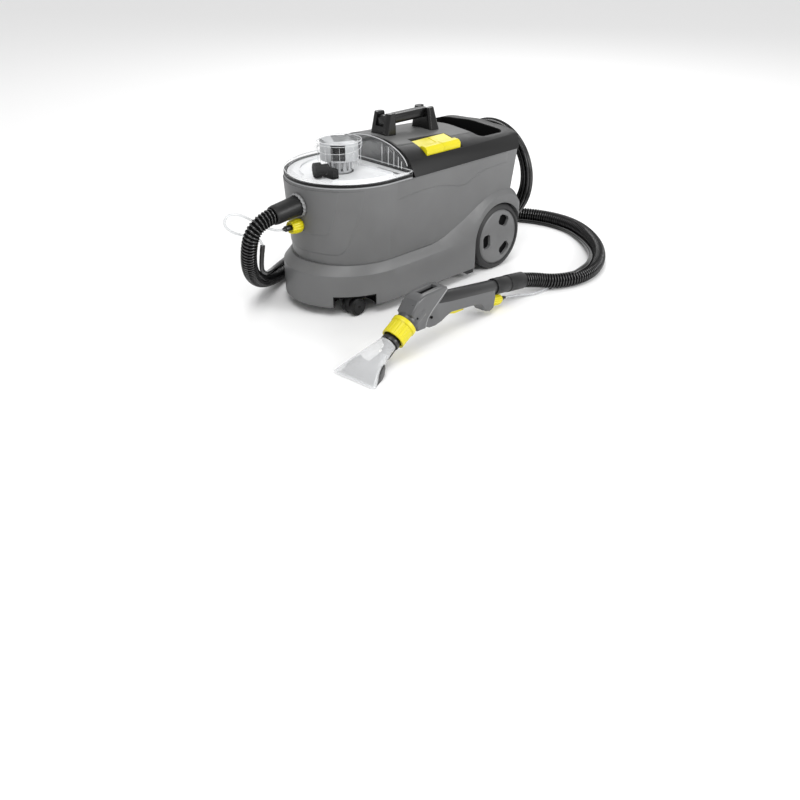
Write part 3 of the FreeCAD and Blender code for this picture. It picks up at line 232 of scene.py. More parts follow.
DUCT_GREY = moulded("light_grey_plastic", (0.42, 0.43, 0.44), 0.4, spread=0.05)
CUFF_BLACK = moulded("black_cuff_plastic", (0.0075, 0.0075, 0.0078), 0.38, shine=0.3)
# Lit and shaded copies of the hose's one black: the valley copy is painted shade, the ridge copy
# painted highlight.
HOSE_VALLEY_SHADE = moulded("hose_valley_painted_shade", (0.0012, 0.0012, 0.0013), 0.6, shine=0.04)
HOSE_RIDGE_HIGHLIGHT = moulded("hose_ridge_painted_highlight", (0.016, 0.016, 0.0165), 0.2, coat=0.25)
SLEEVE_BLACK = moulded("sleeve_black_plastic", (0.008, 0.008, 0.0084), 0.22, shine=0.5)
CORD_BLACK = moulded("cord_black_rubber", (0.004, 0.004, 0.0042), 0.24, shine=0.45)
RUBBER = moulded("black_seal_rubber", (0.006, 0.006, 0.0062), 0.45, shine=0.2)
TYRE = moulded("tyre_rubber", (0.022, 0.022, 0.0225), 0.5, grain=500.0, shine=0.3)
FLANGE_GREY = moulded("grey_flange_plastic", (0.26, 0.265, 0.27), 0.36, spread=0.04)
MOTOR = moulded("motor_plastic", (0.08, 0.08, 0.082), 0.5)
STEEL = turned_steel("turned_steel")
CLEAR_LID = clear("clear_lid_plastic", (0.55, 0.56, 0.57), 0.006, 0.24)
CLEAR_FAN = clear("clear_nozzle_plastic", (0.8, 0.81, 0.82), 0.28, 0.66)
CLEAR_TUBE = clear("clear_tube_plastic", (0.6, 0.62, 0.64), 0.3, 0.9)
# Bright clear plastic: the lid's real inner ribs, and painted highlights on the lid, turret and fan
# edges.
CLEAR_RIB_AND_HIGHLIGHT = clear("clear_rib_and_painted_highlight_plastic", (0.85, 0.86, 0.87), 0.4, 0.95)


# ---------------------------------------------------------------- mesh helpers
def shade(mesh, angle):
    for polygon in mesh.polygons:
        polygon.use_smooth = True
    mesh.set_sharp_from_angle(angle=math.radians(angle))


def piece(name, mesh, material, body, replaces=(), angle=38.0):
    """Put a mesh in the scene as a piece that rides on a CAD body."""
    item = bpy.data.objects.new(name, mesh)
    bpy.context.scene.collection.objects.link(item)
    mesh.materials.append(material)
    if angle:
        shade(mesh, angle)
    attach(item, body)
    if replaces:
        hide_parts(*replaces)
    return item


def mesh_from(name, corners, faces, merge=1e-6):
    """Mesh with doubles merged and its normals facing out."""
    mesh = bpy.data.meshes.new(name)
    mesh.from_pydata([tuple(c) for c in corners], [], faces)
    work = bmesh.new()
    work.from_mesh(mesh)
    bmesh.ops.remove_doubles(work, verts=work.verts, dist=merge)
    bmesh.ops.recalc_face_normals(work, faces=work.faces)
    work.to_mesh(mesh)
    work.free()
    return mesh


def softened(outline, radius, steps=3):
    """A closed 2-D outline with each corner off the axis replaced by a small curve."""
    points, count = [], len(outline)
    for i, corner in enumerate(outline):
        corner = Vector(corner)
        before = Vector(outline[i - 1]) - corner
        after = Vector(outline[(i + 1) % count]) - corner
        if abs(corner.y) < 1e-9:
            points.append(corner)
            continue
        start = corner + before.normalized() * min(radius, 0.45 * before.length)
        end = corner + after.normalized() * min(radius, 0.45 * after.length)
        for k in range(steps + 1):
            share = k / steps
            points.append(start.lerp(corner, share).lerp(corner.lerp(end, share), share))
    return points


def lathe(name, outline, place, segments=72, wave=None):
    """Turn a closed outline of (along, radius) about its along axis.

    wave(angle, along, radius) may return another radius, for ribs and flutes.
    """
    count = len(outline)
    corners = []
    for i in range(segments):
        angle = 2 * math.pi * i / segments
        for along, radius in outline:
            reach = wave(angle, along, radius) if wave else radius
            corners.append(place @ Vector((along, reach * math.cos(angle),
                                           reach * math.sin(angle))))
    faces = []
    for i in range(segments):
        here, there = i * count, (i + 1) % segments * count
        for j in range(count):
            k = (j + 1) % count
            if outline[j][1] < 1e-9 and outline[k][1] < 1e-9:
                continue
            faces.append((here + j, here + k, there + k, there + j))
    return mesh_from(name, corners, faces)


def axis_place(at, along, up=(0, 0, 1)):
    """Matrix whose local X runs along a direction, from a point."""
    x = Vector(along).normalized()
    y = Vector(up).cross(x).normalized()
    z = x.cross(y)
    turn = Matrix((x, y, z)).transposed().to_4x4()
    return Matrix.Translation(Vector(at)) @ turn


def prism(name, outline, low, high, place):
    """An outline of (x, y) padded from low to high along local Z."""
    count = len(outline)
    corners = [place @ Vector((x, y, low)) for x, y in outline]
    corners += [place @ Vector((x, y, high)) for x, y in outline]
    faces = [tuple(range(count))[::-1], tuple(range(count, 2 * count))]
    faces += [(i, (i + 1) % count, count + (i + 1) % count, count + i) for i in range(count)]
    return mesh_from(name, corners, faces)


def joined_mesh(name, meshes):
    """One mesh of several separate closed ones."""
    work = bmesh.new()
    for mesh in meshes:
        work.from_mesh(mesh)
        bpy.data.meshes.remove(mesh)
    result = bpy.data.meshes.new(name)
    work.to_mesh(result)
    work.free()
    return result


def grid_faces(rows, columns, closed_columns=True, closed_rows=False):
    faces = []
    for i in range(rows if closed_rows else rows - 1):
        for j in range(columns if closed_columns else columns - 1):
            k, m = (j + 1) % columns, (i + 1) % rows
            faces.append((i * columns + j, i * columns + k, m * columns + k, m * columns + j))
    return faces


# ---------------------------------------------------------------- cords
def metres(route):
    return [Vector(point) * MM for point in route]


def nurbs(name, route, radius=0.0):
    """A smooth curve through the pull of its route's points."""
    data = bpy.data.curves.new(name, "CURVE")
    data.dimensions = "3D"
    data.resolution_u = 10
    spline = data.splines.new("NURBS")
    spline.points.add(len(route) - 1)
    for point, at in zip(spline.points, route):
        point.co = (*at, 1)
    spline.order_u = 3
    spline.use_endpoint_u = True
    data.bevel_depth = radius
    data.bevel_resolution = 5
    data.use_fill_caps = True
    item = bpy.data.objects.new(name, data)
    bpy.context.scene.collection.objects.link(item)
    return item


def line_of(route):
    """Points read from the route's own smooth curve."""
    item = nurbs("line", route)
    bpy.context.view_layer.update()
    mesh = bpy.data.meshes.new_from_object(item)
    points = [vertex.co.copy() for vertex in mesh.vertices]
    bpy.data.meshes.remove(mesh)
    bpy.data.objects.remove(item)
    return points


def length_of(points):
    return sum((b - a).length for a, b in zip(points, points[1:]))


def evenly(points, step):
    """The same line with points a fixed step apart, from its first to its last point."""
    total = length_of(points)
    count = max(2, round(total / step))
    spaced, travelled, target = [points[0]], 0.0, total / count
    for before, after in zip(points, points[1:]):
        run = (after - before).length
        while travelled + run >= target - 1e-12 and len(spaced) < count:
            spaced.append(before.lerp(after, (target - travelled) / run))
            target += total / count
        travelled += run
    return spaced + [points[-1]]


def tube_rings(line, sides, radius_at):
    """Rings round a line, carried along without twist; radius_at(distance, angle)."""
    tangent = (line[1] - line[0]).normalized()
    across = tangent.orthogonal().normalized()
    corners, travelled = [], 0.0
    for i, point in enumerate(line):
        ahead = (line[min(i + 1, len(line) - 1)] - line[max(i - 1, 0)]).normalized()
        across = (across - ahead * across.dot(ahead)).normalized()
        over = ahead.cross(across)
        if i:
            travelled += (point - line[i - 1]).length
        for k in range(sides):
            angle = 2 * math.pi * k / sides
            reach = radius_at(travelled, angle)
            corners.append(point + (across * math.cos(angle) + over * math.sin(angle)) * reach)
    return corners


def tube_mesh(name, line, sides, radius_at):
    corners = tube_rings(line, sides, radius_at)
    faces = grid_faces(len(line), sides)
    faces += [tuple(range(sides))[::-1],
              tuple(range((len(line) - 1) * sides, len(line) * sides))]
    return mesh_from(name, corners, faces, merge=1e-7)


HOSE_ROUTE = [
    (0, -395.4, 256.6), (0, -426, 252), (-7, -453, 225), (-21, -455, 180), (-44, -441, 131),
    (-80, -405, 86), (-128, -346, 45), (-180, -262, 20), (-222, -156, 20), (-258, -30, 20),
    (-278, 104, 20), (-272, 240, 20), (-238, 368, 20), (-178, 478, 20), (-96, 564, 20),
    (4, 622, 20), (116, 628, 20), (222, 574, 20), (312, 490, 20), (372, 390, 20),
    (386, 296, 20), (358, 226, 21), (329, 178, 32), (323, 128.6, 42.6),
]
SLEEVE_SIDES = [0, 0, 0, 0, 0, 20, 55, 90, 110, 90, 60, 30, 0, -20, -30, -30, -30, -20,
                10, 55, 105, 150, 200, 200]
SLEEVE_FIRST, SLEEVE_LAST = 3, 21
SLEEVE_REACH = 27.1
LOOP_ROUTE = [
    (0, -367.6, 217), (-5, -384, 217), (-24, -403, 226), (-36, -430, 247), (-39, -462, 268),
    (-42, -490, 271), (-45, -501, 252), (-46, -484, 230), (-42, -456, 215), (-29, -432, 208),
    (-12, -424, 203), (-7, -424, 190),
]
SLEEVE_START, SLEEVE_END = (-7, -424, 190), (352, 210, 7)
LEAD_ROUTE = [
    (-112, 358, 114), (-112, 358, 128), (-112, 361, 144), (-115, 368, 160), (-121, 374, 177),
    (-132, 375, 195), (-139, 375, 214), (-133, 375, 230), (-118, 375, 239), (-101, 375, 236),
    (-90, 375, 223), (-89, 374, 205), (-89, 366, 188), (-88, 357, 172), (-86, 351, 158),
    (-84, 349, 144),
]
TAIL_ROUTE = [(-112, 358, 258), (-128, 358, 246), (-140, 358, 228), (-146, 358, 206),
              (-148, 358, 184)]


def riding_point(i):
    """A point of the sleeve's route, beside the hose's own point at the stated side."""
    before = Vector(HOSE_ROUTE[max(i - 1, 0)])
    after = Vector(HOSE_ROUTE[min(i + 1, len(HOSE_ROUTE) - 1)])
    along = (after - before).normalized()
    right = Vector((along.y, -along.x, 0)).normalized()
    over = right.cross(along)
    angle = math.radians(SLEEVE_SIDES[i])
    return Vector(HOSE_ROUTE[i]) + (right * math.cos(angle) + over * math.sin(angle)) * SLEEVE_REACH


def sleeve_route():
    route = [riding_point(i) for i in range(SLEEVE_FIRST, SLEEVE_LAST + 1)]
    return [Vector(SLEEVE_START)] + route[1:-1] + [Vector(SLEEVE_END)]


HOSE_RADIUS, HOSE_PITCH, HOSE_RIB = 19.4 * MM, 8.0 * MM, 3.2 * MM


def hose_radius(distance, angle):
    """Outer radius of the spiral-ribbed hose."""
    phase = (distance / HOSE_PITCH + angle / (2 * math.pi)) * 2 * math.pi
    ridge = (0.5 + 0.5 * math.cos(phase)) ** 1.3
    return HOSE_RADIUS - HOSE_RIB * (1 - ridge)


def suction_hose():
    """Spiral-ribbed hose: glossy ridges painted lighter as highlight over valleys painted nearly
    black as shade.
    """
    line = line_of(metres(HOSE_ROUTE))
    rings, sides = evenly(line, HOSE_PITCH / 7), 28
    mesh = tube_mesh("ribbed_hose", rings, sides, hose_radius)
    hose = piece("ribbed_hose", mesh, HOSE_VALLEY_SHADE, "machine", ["suction_hose"], angle=80)
    mesh.materials.append(HOSE_RIDGE_HIGHLIGHT)
    # Faces out on the ridges get the lighter painted-highlight copy, the rest the near-black
    # painted-shade copy.
    for polygon in mesh.polygons:
        ring = min(polygon.vertices[0] // sides, len(rings) - 1)
        if (polygon.center - rings[ring]).length > HOSE_RADIUS - 0.42 * HOSE_RIB:
            polygon.material_index = 1
    return hose


def spray_sleeve():
    line = line_of(metres(sleeve_route()))
    total = length_of(line)

    def radius_at(distance, angle):
        """A plain sleeve that swells a little into an end cap at each end."""
        from_end = min(distance, total - distance)
        return 5.6 * MM + 0.4 * MM * (1 - min(1.0, max(0.0, from_end / MM - 18) / 2))
    mesh = tube_mesh("sleeve_tube", evenly(line, 4 * MM), 20, radius_at)
    sleeve = piece("sleeve_tube", mesh, SLEEVE_BLACK, "machine", ["spray_sleeve"],
                   angle=50)
    return sleeve


def curve_piece(item, material, body, replaces):
    item.data.materials.append(material)
    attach(item, body)
    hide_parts(*replaces)
    return item


TOOL_TURN = math.asin(0.073)
TOOL_PLACE = (Matrix.Translation(Vector((367.5, -478, 0)) * MM)
              @ Matrix.Rotation(TOOL_TURN, 4, "Z"))
COUPLING_START = Vector((0, 476.5, 28)) * MM


def sloped(degrees):
    """Direction in the tool's upright plane, rising towards the hose end."""
    return Vector((0, math.cos(math.radians(degrees)), math.sin(math.radians(degrees))))


GRIP_AXIS, NECK_AXIS = sloped(-9.5), sloped(29)
RING_CENTRE = Vector((0, 140, 66)) * MM
TUBE_END = TOOL_PLACE @ (COUPLING_START + GRIP_AXIS * 66 * MM)


def spray_tubes():
    """The clear tube: a free loop at the machine and a short free stretch at the tool."""
    loop = nurbs("clear_loop", metres(LOOP_ROUTE), 3 * MM)
    curve_piece(loop, CLEAR_TUBE, "machine", ["spray_tube_machine"])
    length_of(line_of(metres(LOOP_ROUTE)))
    route = metres([SLEEVE_END, (352, 178, 5), (344, 142, 6), (334, 106, 12)]) + [TUBE_END]
    stretch = nurbs("clear_stretch", route, 3 * MM)
    curve_piece(stretch, CLEAR_TUBE, "machine", ["spray_tube_tool"])
    length_of(line_of(route))


HANK_CENTRE, HANK_RADIUS = Vector((14, 358, 215)), 130.0
HANK_TURNS, HANK_POINTS, CORD_SPACING = 9, 20, 8.6


def hank_route():
    """Nine turns in a three by three bundle, from the lead's end round to the tail's."""
    route = []
    start = math.atan2(LEAD_ROUTE[-1][2] - HANK_CENTRE.z, LEAD_ROUTE[-1][0] - HANK_CENTRE.x)
    finish = math.atan2(TAIL_ROUTE[0][2] - HANK_CENTRE.z, TAIL_ROUTE[0][0] - HANK_CENTRE.x)
    extra = (finish - start) % (2 * math.pi) - 2 * math.pi
    total = HANK_TURNS * HANK_POINTS
    for i in range(total + 1):
        turn = i / HANK_POINTS
        angle = start + turn * 2 * math.pi + extra * i / total
        place = min(turn, HANK_TURNS - 0.001)
        lap, share = int(place), place - int(place)
        ease = max(0.0, share * 5 - 4)
        ease = ease * ease * (3 - 2 * ease)
        following = min(lap + 1, HANK_TURNS - 1)
        column = (1 - ease) * (lap // 3 - 1) + ease * (following // 3 - 1)
        rows = [1 - lap % 3 if lap // 3 % 2 else lap % 3 - 1,
                1 - following % 3 if following // 3 % 2 else following % 3 - 1]
        row = (1 - ease) * rows[0] + ease * rows[1]
        loose = 1.05 + 0.3 * max(0.0, -math.sin(angle - 0.5)) + 0.08 * math.sin(3 * angle + lap)
        reach = HANK_RADIUS + column * CORD_SPACING * loose + 1.6 * math.sin(2 * angle + 2.1 * lap)
        route.append(Vector((HANK_CENTRE.x + reach * math.cos(angle),
                             HANK_CENTRE.y + row * CORD_SPACING,
                             HANK_CENTRE.z + reach * math.sin(angle))))
    return route


def power_cord():
    route = metres(LEAD_ROUTE[:-1]) + [p * MM for p in hank_route()] + metres(TAIL_ROUTE[1:])
    cord = nurbs("power_cord", route, 4 * MM)
    curve_piece(cord, CORD_BLACK, "machine",
                ["power_cord_lead", "power_cord_hank", "power_cord_tail"])
    length_of(line_of(route))


suction_hose()
spray_sleeve()
spray_tubes()
power_cord()


# ---------------------------------------------------------------- carried-over CAD pieces
def dress(material, *names, edge=0.0, angle=32.0, steps=3):
    """Give CAD nodes a material, smooth shading and, where asked, rounded edges."""
    for name in names:
        item = NODES[name]
        item.data.materials.clear()
        item.data.materials.append(material)
        weld = item.modifiers.new("weld", "WELD")
        weld.merge_threshold = 2e-6
        for polygon in item.data.polygons:
            polygon.use_smooth = True
        if edge:
            rounded = item.modifiers.new("edges", "BEVEL")
            rounded.width = edge * MM
            rounded.segments = steps
            rounded.limit_method = "ANGLE"
            rounded.angle_limit = math.radians(angle)
            rounded.harden_normals = True
            rounded.use_clamp_overlap = True


dress(GREY, "base_housing", edge=3.0, steps=4)
dress(GREY, "body_shell", "suction_port", edge=1.2)
dress(BLACK, "top_cover", "switch_block", edge=1.2)
dress(GREY_PANEL, "top_panel", edge=0.6)
# The tray and caster cups: black plastic darkened further as painted shade in the wells.
dress(BLACK_AND_SHADE, "storage_tray", "caster_cups", edge=0.8)
dress(BLACK, "bottom_plate", "caster_hood_left", "caster_hood_right",
      "caster_wheels_left", "caster_wheels_right", edge=0.8)
dress(BLACK_GLOSS, "handle_front_post", "handle_rear_post", "handle_grip", edge=1.2)
dress(YELLOW, "suction_pedal", "spray_pedal", "tool_trigger", "tool_lock_ring", edge=0.9)
dress(STEEL, "rear_axle")
dress(BLACK, "caster_axle_left", "caster_axle_right")
dress(TYRE, "rear_tyre_left", "rear_tyre_right", edge=0.6)
dress(HUB_GREY, "rear_hub_left", "rear_hub_right", edge=1.4)
dress(WHITE, "tank_deck", "fresh_water_tank", "float_ball", edge=0.5)
dress(FLANGE_GREY, "waste_tank", edge=0.5)
dress(DUCT_GREY, "float_cage", edge=0.4)
dress(RUBBER, "lid_seal", edge=0.4)
dress(BLACK_AND_SHADE, "lint_filter", edge=0.5)
dress(BLACK_GLOSS, "air_intake", edge=0.5)
dress(CUFF_BLACK, "hose_cuff_machine", "hose_cuff_tool", edge=0.9)
dress(BLACK_TUBE, "tool_grip_tube", "nozzle_body",
      "spray_connector_machine", "spray_connector_tool", "cable_boss", "cable_hook",
      "power_plug", edge=0.9)
dress(RUBBER, "cable_gland", edge=0.5)
dress(MOTOR, "vacuum_motor", "fan_rotor", "spray_pump", edge=0.5)
dress(CLEAR_LID, "tank_lid", edge=0.5)
dress(CLEAR_FAN, "nozzle_cover", edge=0.5)
dress(TOOL_GREY, "tool_housing", edge=1.6)


# ---------------------------------------------------------------- relief on the tank body
def sheet(name, tops, bottoms, rows, columns, open_at=None):
    """A thin closed sheet between two grids of points; cells may be left open."""
    count = rows * columns
    cells = []
    for i in range(rows - 1):
        for j in range(columns - 1):
            cell = (i * columns + j, i * columns + j + 1, (i + 1) * columns + j + 1,
                    (i + 1) * columns + j)
            middle = sum((Vector(tops[k]) for k in cell), Vector()) / 4
            if not (open_at and open_at(middle)):
                cells.append(cell)
    edges = {(cell[k], cell[(k + 1) % 4]) for cell in cells for k in range(4)}
    faces = cells + [tuple(k + count for k in reversed(cell)) for cell in cells]
    faces += [(b, a, a + count, b + count) for a, b in edges if (b, a) not in edges]
    mesh = mesh_from(name, list(tops) + list(bottoms), faces)
    work = bmesh.new()
    work.from_mesh(mesh)
    bmesh.ops.delete(work, geom=[v for v in work.verts if not v.link_faces], context="VERTS")
    work.to_mesh(mesh)
    work.free()
    return mesh


def between(stops, at):
    """Straight-line reading of a table of (position, value)."""
    for (low, first), (high, second) in zip(stops, stops[1:]):
        if at <= high:
            share = max(0.0, (at - low) / (high - low))
            return first + share * (second - first)
    return stops[-1][1]


def body_plan(height):
    """Half width and nose length of the tank body at a height, in millimetres."""
    share = (height - 127) / 187
    return 143 + 10 * share, 152 + 13 * share


def nose_point(x, height, reach):
    """Point on the body's round end, moved out by reach; all in millimetres."""
    half, nose = body_plan(height)
    depth = math.sqrt(max(0.0, 1 - (x / half) ** 2))
    outward = Vector((x / half ** 2, -depth / nose, -0.0005)).normalized()
    return (Vector((x, -154 - nose * depth, height)) + outward * reach) * MM


def eased(share):
    share = min(1.0, max(0.0, share))
    return share * share * (3 - 2 * share)


PORT_HEIGHT, SOCKET_HEIGHT = 267, 217
PORT_CLEARANCE, SOCKET_CLEARANCE = 24, 9
NOSE_FIELDS = [
    ("nose_field", 1.3, 5, [(150, 66), (152, 84), (156, 97), (164, 104), (172, 109), (212, 121),
                            (253, 130), (309, 138)]),
    ("port_field", 2.3, 4, [(197, 50), (199, 64), (203, 73), (208, 78), (214, 81), (229, 85),
                            (267, 95), (309, 103)]),
]


def nose_field(name, proud, border, widths):
    """A raised field on the round end: flat bottom edge, sides that spread upwards."""
    low, high = widths[0][0], widths[-1][0]
    rows, columns = 60, 73
    tops, bottoms = [], []
    for i in range(rows):
        height = low + (high - low) * (i / (rows - 1)) ** 1.5
        width = between(widths, height)
        for j in range(columns):
            t = math.sin((2 * j / (columns - 1) - 1) * math.pi / 2)
            x = t * width
            inside = min((width - abs(x)) / border, (height - low) / border)
            tops.append(nose_point(x, height, -0.5 + (proud + 0.5) * eased(inside)))
            bottoms.append(nose_point(x, height, -1.6))

    def at_fitting(point):
        across, up = point.x / MM, point.z / MM
        return (math.hypot(across, up - PORT_HEIGHT) < PORT_CLEARANCE
                or math.hypot(across, up - SOCKET_HEIGHT) < SOCKET_CLEARANCE)
    return piece(name, sheet(name, tops, bottoms, rows, columns, at_fitting), GREY, "machine",
                 angle=60)


SIDE_LINE = [(-150, 269), (-139, 270), (-99, 273), (-48, 276), (0, 274), (40, 266), (80, 256),
             (109, 258), (131, 269), (150, 276), (168, 280), (207, 282), (262, 284)]


def side_field(name, side):
    """A raised band under the rim whose lower edge swoops along the flank."""
    rows, columns = 16, 90
    tops, bottoms = [], []
    for i in range(rows):
        share = (i / (rows - 1)) ** 1.8
        for j in range(columns):
            y = -150 + 412 * j / (columns - 1)
            low = between(SIDE_LINE, y)
            height = low + (311.5 - low) * share
            inside = min((height - low) / 4, (y + 150) / 30, (262 - y) / 12)
            reach = body_plan(height)[0] - 0.4 + 1.5 * eased(inside)
            tops.append(Vector((side * reach, y, height)) * MM)
            bottoms.append(Vector((side * (body_plan(height)[0] - 1.6), y, height)) * MM)
    return piece(name, sheet(name, tops, bottoms, rows, columns), GREY, "machine",
                 angle=60)


for field in NOSE_FIELDS:
    nose_field(*field)
side_field("side_field_right", 1)
side_field("side_field_left", -1)


# ---------------------------------------------------------------- clear lid details
def ring_mesh(name, path, radius, sides=10):
    """A round bead along a closed line of points."""
    corners, count = [], len(path)
    for i, point in enumerate(path):
        ahead = (path[(i + 1) % count] - path[i - 1]).normalized()
        side = ahead.cross(Vector((0, 0, 1))).normalized()
        over = side.cross(ahead)
        for k in range(sides):
            angle = 2 * math.pi * k / sides
            corners.append(point + (side * math.cos(angle) + over * math.sin(angle)) * radius)
    return mesh_from(name, corners, grid_faces(count, sides, closed_rows=True))


def rod_mesh(name, path, radius, sides=10):
    return tube_mesh(name, path, sides, lambda distance, angle: radius)


def circle(centre, radius, count=96):
    return [Vector(centre) + Vector((math.cos(a), math.sin(a), 0)) * radius
            for a in (2 * math.pi * i / count for i in range(count))]


def rim_line(inset, height, rear=-84.5, corner=12.0):
    """The lid's plan outline at a height, drawn in by an inset; in millimetres."""
    half, nose, back = 153 - inset, 165 - inset, rear - inset
    points = []
    for i in range(65):
        angle = math.pi * i / 64
        points.append((half * math.cos(angle), -154 - nose * math.sin(angle)))
    for sign in (-1, 1):
        turn = []
        for k in range(7):
            angle = math.pi / 2 * k / 6
            turn.append((sign * (half - corner + corner * math.cos(angle)),
                         back - corner + corner * math.sin(angle)))
        points += turn if sign < 0 else turn[::-1]
    return [Vector((x, y, height)) * MM for x, y in points]


def dome_height(x, y):
    """Outer surface of the lid's dome over a point, in millimetres."""
    half = 131 * math.sqrt(max(0.0, 1 - (max(0.0, -154 - y) / 160) ** 2))
    rise = 56 * math.sqrt(max(0.0, 1 - ((-84.5 - y) / 229) ** 2.2)) + 4
    return 327 + rise * math.sqrt(max(0.0, 1 - (x / max(half, 1e-6)) ** 2))


TURRET_Y = -187
FOOT_RADIUS, LINE_RADIUS = 54.4, 51.5


def turret_foot():
    """The line where the turret's wall meets the dome."""
    points = []
    for i in range(96):
        angle = 2 * math.pi * i / 96
        x, y = FOOT_RADIUS * math.cos(angle), TURRET_Y + FOOT_RADIUS * math.sin(angle)
        points.append(Vector((x, y, dome_height(x, y) + 0.2)) * MM)
    return points


def turret_lines():
    """Upright lines painted bright as highlights on the clear cylinder that hangs below the turret.
    """
    lines = []
    for k in range(18):
        angle = 2 * math.pi * k / 18
        x, y = LINE_RADIUS * math.cos(angle), TURRET_Y + LINE_RADIUS * math.sin(angle)
        foot, head = Vector((x, y, 338)) * MM, Vector((x, y, 386)) * MM
        lines.append(rod_mesh("line", [foot, foot.lerp(head, 0.5), head], 0.5 * MM, 8))
    return lines


def lid_details():
    """Beads on the clear lid's edges, bright as painted highlights, and the ribs inside its rear
    end.
    """
    beads = [ring_mesh("rim_bead", rim_line(1.4, 330.2), 1.0 * MM),
             ring_mesh("turret_bead", circle(Vector((0, TURRET_Y, 396)) * MM, 53.6 * MM), 0.9 * MM),
             ring_mesh("turret_ring", circle(Vector((0, TURRET_Y, 390)) * MM, 54.6 * MM), 0.7 * MM)]
    arch = [Vector((130 * math.cos(a), -86, 328 + 58.5 * math.sin(a))) * MM
            for a in (math.pi * i / 60 for i in range(3, 58))]
    beads.append(rod_mesh("arch_bead", arch, 1.2 * MM))
    beads.append(ring_mesh("turret_foot", turret_foot(), 0.7 * MM))
    beads += turret_lines()
    for side in (-1, 1):
        for x in (52, 74, 93, 108, 119):
            top = dome_height(x, -96) - 3.5
            foot, head = Vector((side * x, -96, 331)) * MM, Vector((side * x, -96, top)) * MM
            beads.append(rod_mesh("rib", [foot, foot.lerp(head, 0.5), head], 0.9 * MM, 8))
    # Bright clear beads: painted highlights on the lid's edges and turret; the rear ribs are real.
    piece("lid_highlight_beads", joined_mesh("lid_highlight_beads", beads), CLEAR_RIB_AND_HIGHLIGHT, "lid")


lid_details()


# ---------------------------------------------------------------- hose port and quick couplings
PORT_TILT = math.radians(7)


def ribbed(count, depth):
    """Wave that draws a radius in between evenly spaced ribs."""
    def wave(angle, along, radius):
        return radius - depth * (0.5 + 0.5 * math.cos(count * angle)) ** 3
    return wave


def port_teeth():
    """Catches of the port's bayonet, standing round the root of the hose cuff."""
    along = Vector((0, -math.cos(PORT_TILT), -math.sin(PORT_TILT)))
    start = Vector((0, -314, 266.6)) * MM + along * 6 * MM
    outline = [(0, 24.6 * MM), (3.4 * MM, 24.6 * MM), (4.6 * MM, 26 * MM), (4.6 * MM, 27.4 * MM),
               (0, 28.6 * MM)]

    def wave(angle, along, radius):
        swell = 0.5 + 0.5 * math.cos(16 * angle)
        return radius - (1.8 * MM * (1 - swell) if radius > 25.5 * MM else 0)
    mesh = lathe("port_teeth", outline, axis_place(start, along), 128, wave)
    piece("port_teeth", mesh, PALE_GREY_AND_HIGHLIGHT, "machine", angle=30)


def couplings():
    """The two yellow quick couplings: a ribbed barrel with a release flange."""
    machine_outline = [(0, 3), (30, 3), (30, 10), (33, 12), (34, 14.6), (31, 15.4), (24, 16.8),
                       (14, 17.8), (7, 17.4), (2, 14.5), (0, 12.5)]
    outline = softened([(a * MM, r * MM) for a, r in machine_outline], 1.5 * MM)
    place = axis_place(Vector((0, -313.5, SOCKET_HEIGHT)) * MM, (0, -1, 0))
    mesh = lathe("socket_barrel", outline, place, 96, ribbed(12, 1.1 * MM))
    piece("socket_barrel", mesh, YELLOW, "machine", ["spray_socket"], angle=40)
    tool_outline = [(0, 3), (44, 3), (44, 8), (41, 11.5), (34, 13.6), (30, 14.4), (10, 14.4),
                    (7, 13), (3, 13.2), (0, 12.4)]
    outline = softened([(a * MM, r * MM) for a, r in tool_outline], 1.5 * MM)
    place = TOOL_PLACE @ axis_place(COUPLING_START, GRIP_AXIS)
    mesh = lathe("coupling_barrel", outline, place, 96, ribbed(12, 1.0 * MM))
    piece("coupling_barrel", mesh, YELLOW, "machine", ["tool_coupling"],
          angle=40)


port_teeth()
couplings()


# ---------------------------------------------------------------- wheels
HUB_PHASE = 65
WHEEL_Y, WHEEL_Z, POCKET_REACH = 232, 89, 46
POCKET_FLOOR, FLOOR_THICKNESS = 147.7, 0.8


def hub_pocket_shade(name, side):
    """Near-black sheets on the floors of the three pockets of one rear hub, as painted shade."""
    floors = []
    phase = HUB_PHASE if side > 0 else 180 - HUB_PHASE
    for k in range(3):
        angle = math.radians(phase + 120 * k)
        y = WHEEL_Y + POCKET_REACH * math.cos(angle)
        z = WHEEL_Z + POCKET_REACH * math.sin(angle)
        x = side * POCKET_FLOOR - FLOOR_THICKNESS / 2
        place = Matrix.Translation(Vector((x, y, z)) * MM)
        place = place @ Matrix.Rotation(angle, 4, "X") @ Matrix.Rotation(math.pi / 2, 4, "Y")
        corners = ((-14.5, -19.5), (14.5, -19.5), (14.5, 19.5), (-14.5, 19.5))
        shape = softened([Vector(corner) * MM for corner in corners], 6 * MM)
        floors.append(prism("floor", [tuple(point) for point in shape], 0, FLOOR_THICKNESS * MM,
                            place @ Matrix.Rotation(math.pi / 2, 4, "Z")))
    return piece(name, joined_mesh(name, floors), BLACK_AND_SHADE,
                 "rear_wheel_right" if side > 0 else "rear_wheel_left")


hub_pocket_shade("pocket_shade_right", 1)
hub_pocket_shade("pocket_shade_left", -1)


# ---------------------------------------------------------------- hand tool details
def tool_points(points, across):
    """Points (s, height) of the tool's upright plane at one distance across it."""
    return [TOOL_PLACE @ (Vector((across, s, z)) * MM) for s, z in points]


DIAGONAL = [(280, 130), (262, 117), (238, 101), (220, 88), (209, 76), (205, 62)]
SCREWS = [(228, 76), (175, 92)]


